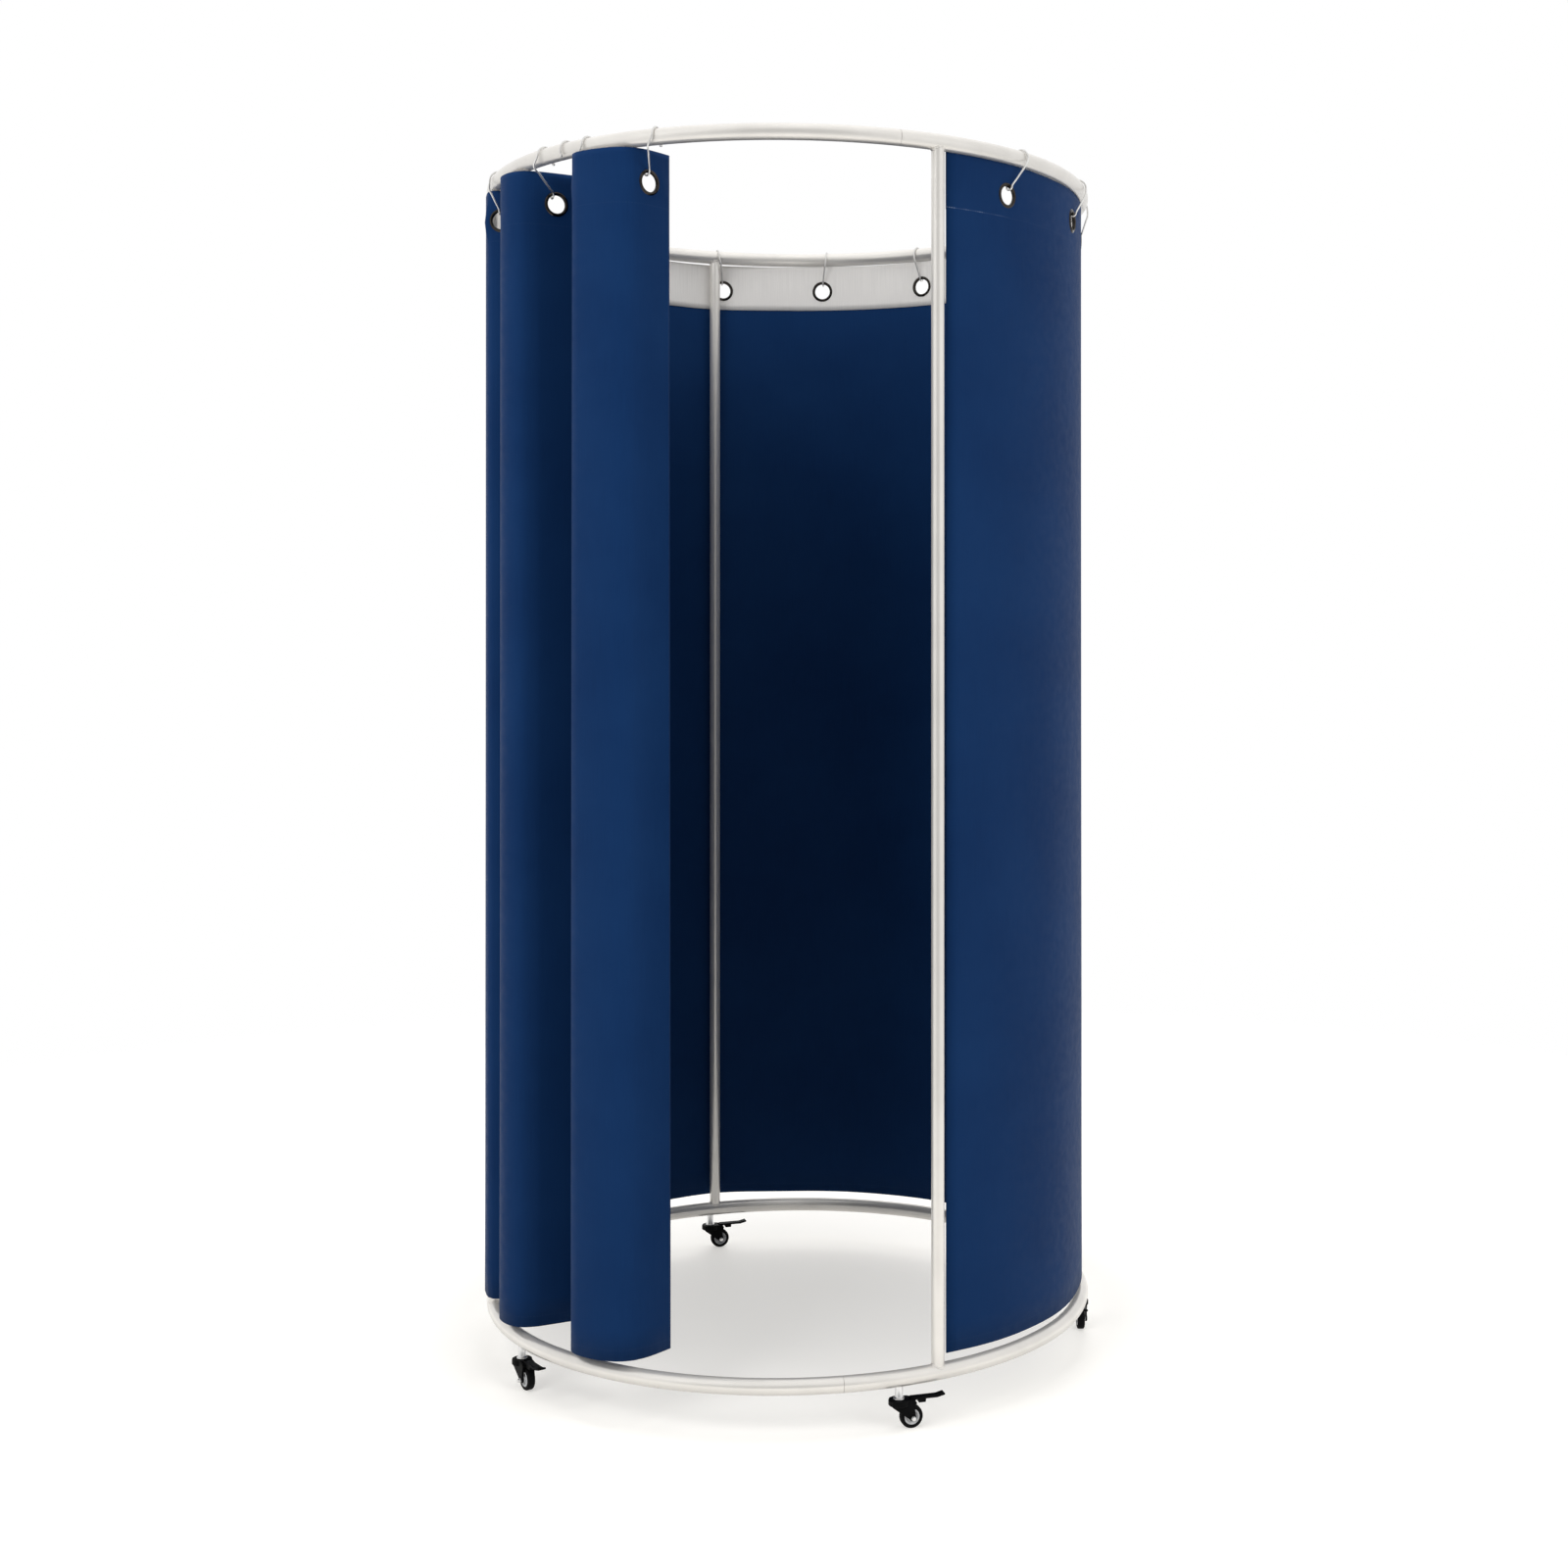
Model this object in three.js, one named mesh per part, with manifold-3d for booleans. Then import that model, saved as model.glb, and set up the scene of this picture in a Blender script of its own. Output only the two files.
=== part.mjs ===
// Portable round fitting room: two ring tubes on four posts, four braked casters,
// and a curtain that hangs on wire hooks round the top ring.
// Millimetres, +Z up. The origin is on the floor under the middle of the rings, and
// the doorway faces -Y. A bearing is an angle in plan from -Y, positive towards +X.
import * as THREE from 'three';
import { mergeVertices } from 'three/addons/utils/BufferGeometryUtils.js';
import Module from 'manifold-3d';

const wasm = await Module();
wasm.setup();

// Rings
const ringRadius = 500;
const ringTubeRadius = 12.5;
const ringWall = 1.5;
const overallHeight = 1947;
const topJointBearing = 22;
const bottomJointBearing = 12;
const spigotLength = 110;
const ringStepAngle = 7.5;
const ringSides = 12;
const boreSides = 6;

// Posts
const postRadius = 10;
const postWall = 1.2;
const postSides = 12;
const firstPostBearing = 29.5;
const postStepAngle = 85.2;
const postCount = 4;

// Curtain
const clothThickness = 1.6;
const clothDropUnderRing = 0.5;
const clothLiftOverRing = 13;
const clothPostClearance = 2;
const postBulgeAngle = 9;
const curtainPostGap = 4.8;
const wrapStepAngle = 5;
const headerBandThickness = 0.8;
const headerBandHeight = 86;

// Grommets
const grommetRadius = 19.5;
const grommetHoleRadius = 14.5;
const grommetThickness = 4;
const grommetDrop = 49;
const grommetSides = 8;
const grommetBandClearance = 1.5;

// Hooks
const wireRadius = 1.5;
const hookSideClearance = 2;
const hookBendRadius = 6;
const hookGrommetLift = 3.5;
const hookTipLength = 26;
const hookBallRadius = 2.5;
const wireSides = 5;
const loopStartAngle = 210;
const loopStepAngle = 30;
const bendStepAngle = 45;
const ballRings = 3;

// Casters
const wheelRadius = 17.5;
const tyreWidth = 12.5;
const tyreDepth = 3.9;
const tyreEdge = 2;
const hubStandOut = 1.5;
const hubRecess = 2;
const hubBossRadius = 5.5;
const wheelSides = 16;
const casterTrail = 19;
const axleRadius = 3;
const axleHeadRadius = 4;
const axleHeadThickness = 1.5;
const axleNutThickness = 6;
const pinSides = 10;
const wheelSideClearance = 0.8;
const wheelCrownClearance = 0.8;
const forkCheekThickness = 2.5;
const forkBridgeThickness = 9;
const forkHeadRadius = 16;
const forkBossRadius = 6;
const forkBackReach = 13;
const forkHeadSides = 16;
const bossSegments = 3;
const stemRadius = 4;
const stemHeadRadius = 6;
const stemHeadThickness = 2.5;
const raceRadius = 8.5;
const raceThickness = 2.2;
const neckRadius = 6;
const neckHeight = 15.7;
const stemReachInRing = 7;
const stemSides = 10;
const pedalPivotAngle = 84;
const pedalWheelClearance = 1.1;
const pedalTipForward = 71;
const pedalRise = 1;
const pedalWidth = 13;
const pedalThickness = 3;
const pedalSideClearance = 0.8;
const pedalBarrelRadius = 3.2;
const pedalPinRadius = 1.8;
const pedalPinSides = 8;
const pedalEarRadius = 4.5;
const pedalToeLength = 12;
const pedalToeRise = 2.5;
const pedalStopLength = 7;
const pedalStopDepth = 5;
const pedalStopForward = 41;

// Fits
const seatGap = 0.3;
const cutOverrun = 2;
const mergeTolerance = 0.0001;

// Bearings of the stems, and the headings of their wheels, anticlockwise from +X
const casterPlaces = [
  { bearing: 22, heading: 17 },
  { bearing: 91, heading: -88 },
  { bearing: 201, heading: 18 },
  { bearing: -55, heading: -54 },
];

// Gathered part of the curtain in plan, from its free edge: bearing, and share of the
// ring radius
const gatherShares = [
  [-22.0, 0.874], [-22.7, 0.920], [-23.4, 0.960], [-24.6, 1.003], [-26.6, 1.034],
  [-29.4, 1.050], [-32.6, 1.054], [-35.4, 1.048], [-37.2, 1.026], [-38.1, 0.990],
  [-37.9, 0.950], [-37.6, 0.905], [-37.8, 0.855], [-38.4, 0.805], [-39.6, 0.772],
  [-41.2, 0.770], [-42.0, 0.800], [-42.1, 0.845], [-42.0, 0.885], [-42.4, 0.912],
  [-43.4, 0.922], [-44.4, 0.910], [-44.9, 0.880], [-45.3, 0.845], [-46.0, 0.812],
  [-47.3, 0.795], [-48.8, 0.805], [-49.8, 0.840], [-50.5, 0.885], [-51.1, 0.935],
  [-51.7, 0.982], [-52.9, 1.020], [-55.0, 1.040], [-57.8, 1.044], [-60.2, 1.034],
  [-62.0, 1.008], [-63.6, 0.975], [-65.6, 0.945], [-67.6, 0.936], [-69.2, 0.954],
  [-70.1, 0.989], [-71.0, 1.020],
];

// Places along the gather, counted in its points, where one fold ends and the next starts
const foldSplits = [0, 7.5, 14.5, 25.5];

// Grommets in the gather: place counted in its points, bearing of the hook on the ring,
// whether the hook's long shank comes down outside the ring or inside it, and the face of
// the sheet that it comes down on
const gatherGrommets = [
  { fold: 1, place: 1.95, hookBearing: -20.5, shank: 'outside', faces: 'out' },
  { fold: 2, place: 10.0, hookBearing: -34.8, shank: 'outside', faces: 'in' },
  { fold: 3, place: 17.1, hookBearing: -40.0, shank: 'inside', faces: 'out' },
  { fold: 0, place: 28.6, hookBearing: -46.3, shank: 'outside', faces: 'out' },
  { fold: 0, place: 40.0, hookBearing: -68.5, shank: 'outside', faces: 'out' },
];

// Grommets round the smooth part: bearing, bearing of the hook on the ring, and whether
// the shank comes down outside the curtain or inside it
const wrapGrommets = [
  { bearing: -91.7, hookBearing: -92.5, shank: 'outside' },
  { bearing: -115.3, hookBearing: -114.6, shank: 'outside' },
  { bearing: -138.8, hookBearing: -139.4, shank: 'inside' },
  { bearing: -162.3, hookBearing: -160.6, shank: 'inside' },
  { bearing: -184.5, hookBearing: -185.5, shank: 'inside' },
  { bearing: -208.0, hookBearing: -206.9, shank: 'inside' },
  { bearing: -228.3, hookBearing: -227.4, shank: 'inside' },
  { bearing: -248.6, hookBearing: -250.2, shank: 'outside' },
  { bearing: -268.9, hookBearing: -267.6, shank: 'outside' },
  { bearing: -289.2, hookBearing: -284.6, shank: 'outside' },
  { bearing: -314.7, hookBearing: -311.0, shank: 'outside' },
];

// Sizes that follow from the ones above
const radians = THREE.MathUtils.degToRad;
const hubWidth = tyreWidth + 2 * hubStandOut;
const hubRadius = wheelRadius - tyreDepth - seatGap;
const forkGap = hubWidth / 2 + wheelSideClearance;
const cheekOutside = forkGap + forkCheekThickness;
const bridgeBottom = 2 * wheelRadius + wheelCrownClearance;
const forkTopHeight = bridgeBottom + forkBridgeThickness;
const pedalPivotReach = wheelRadius + pedalBarrelRadius + pedalWheelClearance;
const pedalPivotForward = casterTrail + pedalPivotReach * Math.cos(radians(pedalPivotAngle));
const pedalPivotHeight = wheelRadius + pedalPivotReach * Math.sin(radians(pedalPivotAngle));
const pedalTop = forkTopHeight + pedalRise;
const raceBottom = forkTopHeight + seatGap;
const raceTop = raceBottom + raceThickness;
const ringClearanceUnder = raceTop + neckHeight;
const topRingHeight = overallHeight - ringTubeRadius;
const bottomRingHeight = ringClearanceUnder + ringTubeRadius;
const ringBoreRadius = ringTubeRadius - ringWall;
const clothTop = topRingHeight - ringTubeRadius - clothDropUnderRing;
const clothBottom = bottomRingHeight + ringTubeRadius + clothLiftOverRing;
const clothInset = clothThickness / 2 + seatGap + headerBandThickness / 2;
const headerBandBottom = clothTop - headerBandHeight;
const grommetHeight = clothTop - grommetDrop;
const postBulge = postRadius + grommetThickness / 2 + clothPostClearance;
const hookLoopRadius = ringTubeRadius + hookSideClearance + wireRadius;
const hookLoopHeight = topRingHeight + ringTubeRadius + seatGap + wireRadius - hookLoopRadius;
const curtainEndBearing = firstPostBearing + arcDegrees(postRadius + curtainPostGap) - 360;

// Materials
const material = (color, roughness, metalness) => (
  new THREE.MeshStandardMaterial({ color, roughness, metalness })
);
const polishedSteel = material(0xd8d6d0, 0.12, 1.0);
const blueCloth = material(0x1e3a69, 0.75, 0.0);
const paleLining = material(0xd0ccc8, 0.8, 0.0);
const hookWire = material(0xc9c8c6, 0.2, 1.0);
const blackNylon = material(0x0c0c0e, 0.45, 0.0);
const blackTyre = material(0x121214, 0.7, 0.0);
const greyHub = material(0x6c6e72, 0.5, 0.0);
const brightSteel = material(0xbfc0c2, 0.25, 1.0);

// Plan geometry
function arcDegrees(length) {
  return THREE.MathUtils.radToDeg(length / ringRadius);
}

function planPoint(bearing, radius, height = 0) {
  const angle = radians(bearing);
  return new THREE.Vector3(radius * Math.sin(angle), -radius * Math.cos(angle), height);
}

// A curve that an extrusion follows point by point
class PointCurve extends THREE.Curve {
  constructor(points) {
    super();
    this.points = points;
  }

  getPoint(t, target = new THREE.Vector3()) {
    const last = this.points.length - 1;
    const place = THREE.MathUtils.clamp(t, 0, 1) * last;
    const index = Math.min(Math.floor(place), last - 1);
    return target.lerpVectors(this.points[index], this.points[index + 1], place - index);
  }

  getUtoTmapping(u) {
    return u;
  }
}

// A level arc round the Z axis at the radius of the rings
class RingCurve extends THREE.Curve {
  constructor(height, fromBearing, toBearing) {
    super();
    Object.assign(this, { height, fromBearing, toBearing });
  }

  getPoint(t, target = new THREE.Vector3()) {
    const bearing = THREE.MathUtils.lerp(this.fromBearing, this.toBearing, t);
    return target.copy(planPoint(bearing, ringRadius, this.height));
  }

  getUtoTmapping(u) {
    return u;
  }
}

// Solids
function closedGeometry(geometry) {
  const bare = geometry.clone();
  bare.deleteAttribute('normal');
  bare.deleteAttribute('uv');
  return mergeVertices(bare, mergeTolerance);
}

function signedVolume(geometry) {
  const position = geometry.getAttribute('position');
  const index = geometry.getIndex();
  const [a, b, c] = [new THREE.Vector3(), new THREE.Vector3(), new THREE.Vector3()];
  let volume = 0;
  for (let i = 0; i < index.count; i += 3) {
    a.fromBufferAttribute(position, index.getX(i));
    b.fromBufferAttribute(position, index.getX(i + 1));
    c.fromBufferAttribute(position, index.getX(i + 2));
    volume += a.dot(b.cross(c)) / 6;
  }
  return volume;
}

function facingOut(geometry) {
  const closed = closedGeometry(geometry);
  if (signedVolume(closed) < 0) {
    const index = closed.getIndex();
    for (let i = 0; i < index.count; i += 3) {
      const first = index.getX(i);
      index.setX(i, index.getX(i + 1));
      index.setX(i + 1, first);
    }
  }
  return closed;
}

function solid(geometry) {
  const closed = facingOut(geometry);
  return new wasm.Manifold(new wasm.Mesh({
    numProp: 3,
    vertProperties: new Float32Array(closed.getAttribute('position').array),
    triVerts: new Uint32Array(closed.getIndex().array),
  }));
}

function geometryOf(manifold) {
  const mesh = manifold.getMesh();
  const geometry = new THREE.BufferGeometry();
  geometry.setAttribute('position', new THREE.BufferAttribute(mesh.vertProperties, 3));
  geometry.setIndex(new THREE.BufferAttribute(mesh.triVerts, 1));
  return geometry;
}

function piece(name, geometry, finish) {
  const mesh = new THREE.Mesh(facingOut(geometry), finish);
  mesh.name = name;
  return mesh;
}

function polygonPoints(radius, sides) {
  return Array.from({ length: sides }, (_, i) => {
    const angle = (2 * Math.PI * i) / sides;
    return new THREE.Vector2(radius * Math.cos(angle), radius * Math.sin(angle));
  });
}

function polygonShape(radius, sides, holeRadius = 0, holeSides = sides) {
  const shape = new THREE.Shape(polygonPoints(radius, sides));
  if (holeRadius > 0) shape.holes.push(new THREE.Path(polygonPoints(holeRadius, holeSides)));
  return shape;
}

function tubeAlong(points, shape) {
  return new THREE.ExtrudeGeometry(shape, {
    steps: points.length - 1,
    extrudePath: new PointCurve(points),
  });
}

// A disc or ring round the Y axis, from its profile of [radius, place along Y] pairs
function turnedOnY(profile, sides, startAngle = 0) {
  const points = profile.map(([radius, along]) => new THREE.Vector2(radius, along));
  return new THREE.LatheGeometry(points, sides, startAngle);
}

function turnedOnZ(profile, sides) {
  return turnedOnY(profile, sides).rotateX(Math.PI / 2);
}

// Rings and posts
function ringArc(height, fromBearing, toBearing, shape) {
  return new THREE.ExtrudeGeometry(shape, {
    steps: Math.max(2, Math.round((toBearing - fromBearing) / ringStepAngle)),
    extrudePath: new RingCurve(height, fromBearing, toBearing),
  });
}

function ringHalf(name, height, jointBearing, stemHoles) {
  const tube = polygonShape(ringTubeRadius, ringSides, ringBoreRadius, boreSides);
  const half = arcDegrees(seatGap / 2);
  const arc = solid(ringArc(height, jointBearing + half, jointBearing + 180 - half, tube));
  return piece(name, geometryOf(stemHoles ? arc.subtract(stemHoles) : arc), polishedSteel);
}

function ringSpigot(name, height, jointBearing) {
  const shape = polygonShape(ringBoreRadius - seatGap / Math.cos(Math.PI / boreSides), boreSides);
  const reach = ringStepAngle * Math.ceil(arcDegrees(spigotLength / 2) / ringStepAngle);
  const arc = solid(ringArc(height, jointBearing - reach, jointBearing + reach, shape));
  const middle = planPoint(jointBearing, ringRadius, height);
  const length = new THREE.BoxGeometry(spigotLength, 4 * ringTubeRadius, 2 * ringTubeRadius)
    .rotateZ(radians(jointBearing))
    .translate(middle.x, middle.y, middle.z);
  return piece(name, geometryOf(arc.intersect(solid(length))), brightSteel);
}

// What a piece seated on a ring is cut back to: the ring with the seat gap round it
function ringSeat(height, jointBearing) {
  const shape = polygonShape(ringTubeRadius + seatGap, ringSides);
  const halves = [jointBearing, jointBearing - 180].map((from) => (
    solid(ringArc(height, from, from + 180, shape))
  ));
  return halves[0].add(halves[1]);
}

function post(number) {
  const bearing = firstPostBearing + postStepAngle * (number - 1);
  const profile = [
    [postRadius, bottomRingHeight],
    [postRadius, topRingHeight],
    [postRadius - postWall, topRingHeight],
    [postRadius - postWall, bottomRingHeight],
    [postRadius, bottomRingHeight],
  ];
  const foot = planPoint(bearing, ringRadius);
  const tube = solid(turnedOnZ(profile, postSides).translate(foot.x, foot.y, 0))
    .subtract(bottomSeat).subtract(topSeat);
  return piece(`post_${number}`, geometryOf(tube), polishedSteel);
}

// Curtain
function postBearings() {
  return Array.from({ length: postCount }, (_, i) => (
    firstPostBearing + postStepAngle * i - 360
  ));
}

function wrapRadius(bearing) {
  const bulges = postBearings().slice(1).map((postBearing) => (
    Math.exp(-(((bearing - postBearing) / postBulgeAngle) ** 2))
  ));
  return ringRadius + postBulge * Math.max(...bulges);
}

const gatherLast = gatherShares.length - 1;
const wrapStart = gatherShares[gatherLast][0];
const wrapSteps = Math.round((wrapStart - curtainEndBearing) / wrapStepAngle);
const wrapStep = (wrapStart - curtainEndBearing) / wrapSteps;
const routeLast = gatherLast + wrapSteps;

function curtainRoute() {
  const gather = gatherShares.map(([bearing, share]) => planPoint(bearing, ringRadius * share));
  const wrap = Array.from({ length: wrapSteps }, (_, i) => {
    const bearing = wrapStart - wrapStep * (i + 1);
    return planPoint(bearing, wrapRadius(bearing));
  });
  return new THREE.CatmullRomCurve3([...gather, ...wrap], false, 'centripetal');
}

const route = curtainRoute();

// Place on the route of a bearing on the smooth part
function placeOnWrap(bearing) {
  return gatherLast + (wrapStart - bearing) / wrapStep;
}

function routePoint(place) {
  return route.getPoint(place / routeLast);
}

// Level direction square to the sheet, towards the cabin on the smooth part
function routeAcross(place) {
  const tangent = route.getTangent(place / routeLast);
  return new THREE.Vector3(tangent.y, -tangent.x, 0).normalize();
}

// Places along the route between two of its points, two to a point in the gather
function routePlaces(from, to) {
  const halves = Array.from({ length: 2 * routeLast }, (_, i) => i / 2);
  const between = halves.filter((place) => (
    place > from && place < to && (place < gatherLast || Number.isInteger(place))
  ));
  return [from, ...between, to];
}

// A sheet that stands on the route: its faces lie either side of an inset from it
function sheetGeometry(from, to, inset, thickness, bottom, top) {
  const places = routePlaces(from, to);
  const edge = (offset) => places.map((place) => {
    const point = routePoint(place).addScaledVector(routeAcross(place), offset);
    return new THREE.Vector2(point.x, point.y);
  });
  const outline = [...edge(inset + thickness / 2), ...edge(inset - thickness / 2).reverse()];
  const geometry = new THREE.ExtrudeGeometry(new THREE.Shape(outline), {
    depth: top - bottom,
    bevelEnabled: false,
  });
  return geometry.translate(0, 0, bottom);
}

// A flat ring or disc that stands in the sheet at a place on the route
function standingDisc(shape, thickness, place) {
  const across = routeAcross(place);
  const centre = routePoint(place);
  const turn = Math.atan2(across.y, across.x);
  return new THREE.ExtrudeGeometry(shape, { depth: thickness, bevelEnabled: false })
    .translate(0, 0, -thickness / 2)
    .rotateZ(Math.PI / 2)
    .rotateY(Math.PI / 2)
    .rotateZ(turn)
    .translate(centre.x, centre.y, grommetHeight);
}

// Every grommet, in order from the curtain's free edge
const grommets = [
  ...gatherGrommets,
  ...wrapGrommets.map(({ bearing, hookBearing, shank }) => ({
    fold: 0,
    place: placeOnWrap(bearing),
    hookBearing,
    shank,
    faces: shank === 'outside' ? 'out' : 'in',
  })),
];

const foldRanges = foldSplits.map((from, i) => [from, foldSplits[i + 1] ?? routeLast]);

// Distance along the route from one of its points to the next, round about a place
function routePace(place) {
  return routePoint(place - 0.5).distanceTo(routePoint(place + 0.5));
}

// Where a length of the curtain starts and ends, with half the seat gap left at each split
function foldRange(fold) {
  const [from, to] = foldRanges[fold === 0 ? foldRanges.length - 1 : fold - 1];
  return [
    from > 0 ? from + seatGap / 2 / routePace(from) : from,
    to < routeLast ? to - seatGap / 2 / routePace(to) : to,
  ];
}

function curtainSheet(name, fold) {
  const [from, to] = foldRange(fold);
  let sheet = solid(sheetGeometry(from, to, 0, clothThickness, clothBottom, clothTop));
  for (const { place } of grommets.filter((grommet) => grommet.fold === fold)) {
    const hole = polygonShape(grommetRadius - cutOverrun, grommetSides);
    const collar = polygonShape(grommetRadius, grommetSides, grommetHoleRadius);
    sheet = sheet
      .subtract(solid(standingDisc(hole, grommetThickness + 2 * cutOverrun, place)))
      .add(solid(standingDisc(collar, grommetThickness, place)));
  }
  return piece(name, geometryOf(sheet), blueCloth);
}

function headerBand(name, fold) {
  const [from, to] = foldRange(fold);
  const band = [from, to, clothInset, headerBandThickness, headerBandBottom, clothTop];
  let sheet = solid(sheetGeometry(...band));
  for (const { place } of grommets.filter((grommet) => grommet.fold === fold)) {
    const hole = polygonShape(grommetRadius + grommetBandClearance, grommetSides);
    const depth = grommetThickness + 2 * cutOverrun;
    sheet = sheet.subtract(solid(standingDisc(hole, depth, place)));
  }
  return piece(name, geometryOf(sheet), paleLining);
}

// Hooks
// Middle of the bend that goes through the grommet: its wire rests on the hole's rim where
// the shank pulls it towards the ring
function hookBendCentre(place, outward, shankTop) {
  const along = new THREE.Vector3(-outward.y, outward.x, 0);
  const centre = routePoint(place).setZ(grommetHeight);
  const pull = shankTop.clone().sub(centre);
  const lean = Math.atan2(pull.dot(along), pull.z);
  const rest = grommetHoleRadius - hookGrommetLift;
  centre.addScaledVector(along, rest * Math.sin(lean));
  centre.z += rest * Math.cos(lean) + hookBendRadius;
  return centre;
}

function hookPoints({ place, hookBearing, shank, faces }) {
  const side = shank === 'outside' ? 1 : -1;
  const loop = Array.from({ length: 1 + loopStartAngle / loopStepAngle }, (_, i) => {
    const angle = radians(loopStartAngle - i * loopStepAngle);
    const out = side * hookLoopRadius * Math.cos(angle);
    const up = hookLoopRadius * Math.sin(angle);
    return planPoint(hookBearing, ringRadius + out, hookLoopHeight + up);
  });
  const shankTop = loop[loop.length - 1];
  const outward = routeAcross(place).multiplyScalar(faces === 'out' ? -1 : 1);
  const centre = hookBendCentre(place, outward, shankTop);
  const bend = Array.from({ length: 1 + 180 / bendStepAngle }, (_, i) => {
    const angle = radians(i * bendStepAngle);
    const point = centre.clone().addScaledVector(outward, hookBendRadius * Math.cos(angle));
    return point.setZ(centre.z - hookBendRadius * Math.sin(angle));
  });
  const kneeHeight = topRingHeight - ringTubeRadius - 2 * wireRadius;
  const kneeShare = (shankTop.z - kneeHeight) / (shankTop.z - bend[0].z);
  const knee = shankTop.clone().lerp(bend[0], kneeShare).setZ(0)
    .setLength(ringRadius + side * hookLoopRadius)
    .setZ(kneeHeight);
  const tip = bend[bend.length - 1].clone();
  tip.z += hookTipLength;
  return [...loop, knee, ...bend, tip];
}

function hook(name, grommet) {
  const points = hookPoints(grommet);
  const tip = points[points.length - 1];
  const ball = new THREE.SphereGeometry(hookBallRadius, wireSides, ballRings).rotateX(Math.PI / 2);
  const wire = solid(tubeAlong(points, polygonShape(wireRadius, wireSides)));
  const tipped = wire.add(solid(ball.translate(tip.x, tip.y, tip.z)));
  return piece(name, geometryOf(tipped), hookWire);
}

// Casters: each piece is made with its stem on the Z axis and its wheel towards +X
function wheelDisc(profile) {
  return turnedOnY(profile, wheelSides, Math.PI / wheelSides)
    .translate(casterTrail, 0, wheelRadius);
}

function flatSided(radius) {
  return radius / Math.cos(Math.PI / wheelSides);
}

function tyreGeometry() {
  const [inner, outer] = [hubRadius + seatGap, wheelRadius].map(flatSided);
  const half = tyreWidth / 2;
  return wheelDisc([
    [inner, -half],
    [outer - tyreEdge, -half],
    [outer, -half + tyreEdge],
    [outer, half - tyreEdge],
    [outer - tyreEdge, half],
    [inner, half],
    [inner, -half],
  ]);
}

function hubGeometry() {
  const [bore, rim] = [axleRadius + seatGap, hubRadius].map(flatSided);
  const half = hubWidth / 2;
  return wheelDisc([
    [bore, -half],
    [hubBossRadius, -half],
    [hubBossRadius, -half + hubRecess],
    [rim, -tyreWidth / 2],
    [rim, tyreWidth / 2],
    [hubBossRadius, half - hubRecess],
    [hubBossRadius, half],
    [bore, half],
    [bore, -half],
  ]);
}

function axleGeometry() {
  const inside = cheekOutside + seatGap;
  return turnedOnY([
    [0, -inside - axleNutThickness],
    [axleHeadRadius, -inside - axleNutThickness],
    [axleHeadRadius, -inside],
    [axleRadius, -inside],
    [axleRadius, inside],
    [axleHeadRadius, inside],
    [axleHeadRadius, inside + axleHeadThickness],
    [0, inside + axleHeadThickness],
  ], pinSides).translate(casterTrail, 0, wheelRadius);
}

// A plate in the XZ plane, standing across Y, from an outline in X and Z
function standingPlate(shape, thickness) {
  return new THREE.ExtrudeGeometry(shape, {
    depth: thickness, bevelEnabled: false, curveSegments: bossSegments,
  }).rotateX(Math.PI / 2).translate(0, thickness / 2, 0);
}

function pinAcross(radius, length, forward, height, sides = pinSides) {
  return new THREE.CylinderGeometry(radius, radius, length, sides)
    .translate(forward, 0, height);
}

function forkGeometry() {
  const cheek = new THREE.Shape();
  cheek.moveTo(-forkBackReach, forkTopHeight);
  cheek.lineTo(-forkBackReach, bridgeBottom);
  cheek.lineTo(casterTrail - forkBossRadius, wheelRadius);
  cheek.absarc(casterTrail, wheelRadius, forkBossRadius, Math.PI, 2 * Math.PI, false);
  cheek.lineTo(pedalPivotForward + pedalEarRadius, pedalPivotHeight);
  cheek.lineTo(pedalPivotForward, pedalPivotHeight + pedalEarRadius);
  cheek.lineTo(forkHeadRadius, forkTopHeight);
  const sides = [-1, 1].map((side) => solid(
    standingPlate(cheek, forkCheekThickness)
      .translate(0, side * (forkGap + forkCheekThickness / 2), 0),
  ));
  const head = turnedOnZ([
    [0, bridgeBottom],
    [forkHeadRadius, bridgeBottom],
    [forkHeadRadius, forkTopHeight],
    [0, forkTopHeight],
  ], forkHeadSides);
  const bridge = new THREE.BoxGeometry(
    forkBackReach + forkHeadRadius, 2 * cheekOutside, forkBridgeThickness,
  ).translate((forkHeadRadius - forkBackReach) / 2, 0, forkTopHeight - forkBridgeThickness / 2);
  const across = 2 * (cheekOutside + cutOverrun);
  const axleHole = pinAcross(axleRadius + seatGap, across, casterTrail, wheelRadius);
  const pedalHole = pinAcross(
    pedalPinRadius + seatGap, across, pedalPivotForward, pedalPivotHeight,
  );
  const stemHole = new THREE.CylinderGeometry(
    stemRadius + seatGap, stemRadius + seatGap, forkBridgeThickness + 2 * cutOverrun, stemSides,
  ).rotateX(Math.PI / 2).translate(0, 0, forkTopHeight - forkBridgeThickness / 2);
  return geometryOf(
    solid(head).add(solid(bridge)).add(sides[0]).add(sides[1])
      .subtract(solid(axleHole)).subtract(solid(pedalHole)).subtract(solid(stemHole)),
  );
}

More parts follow.
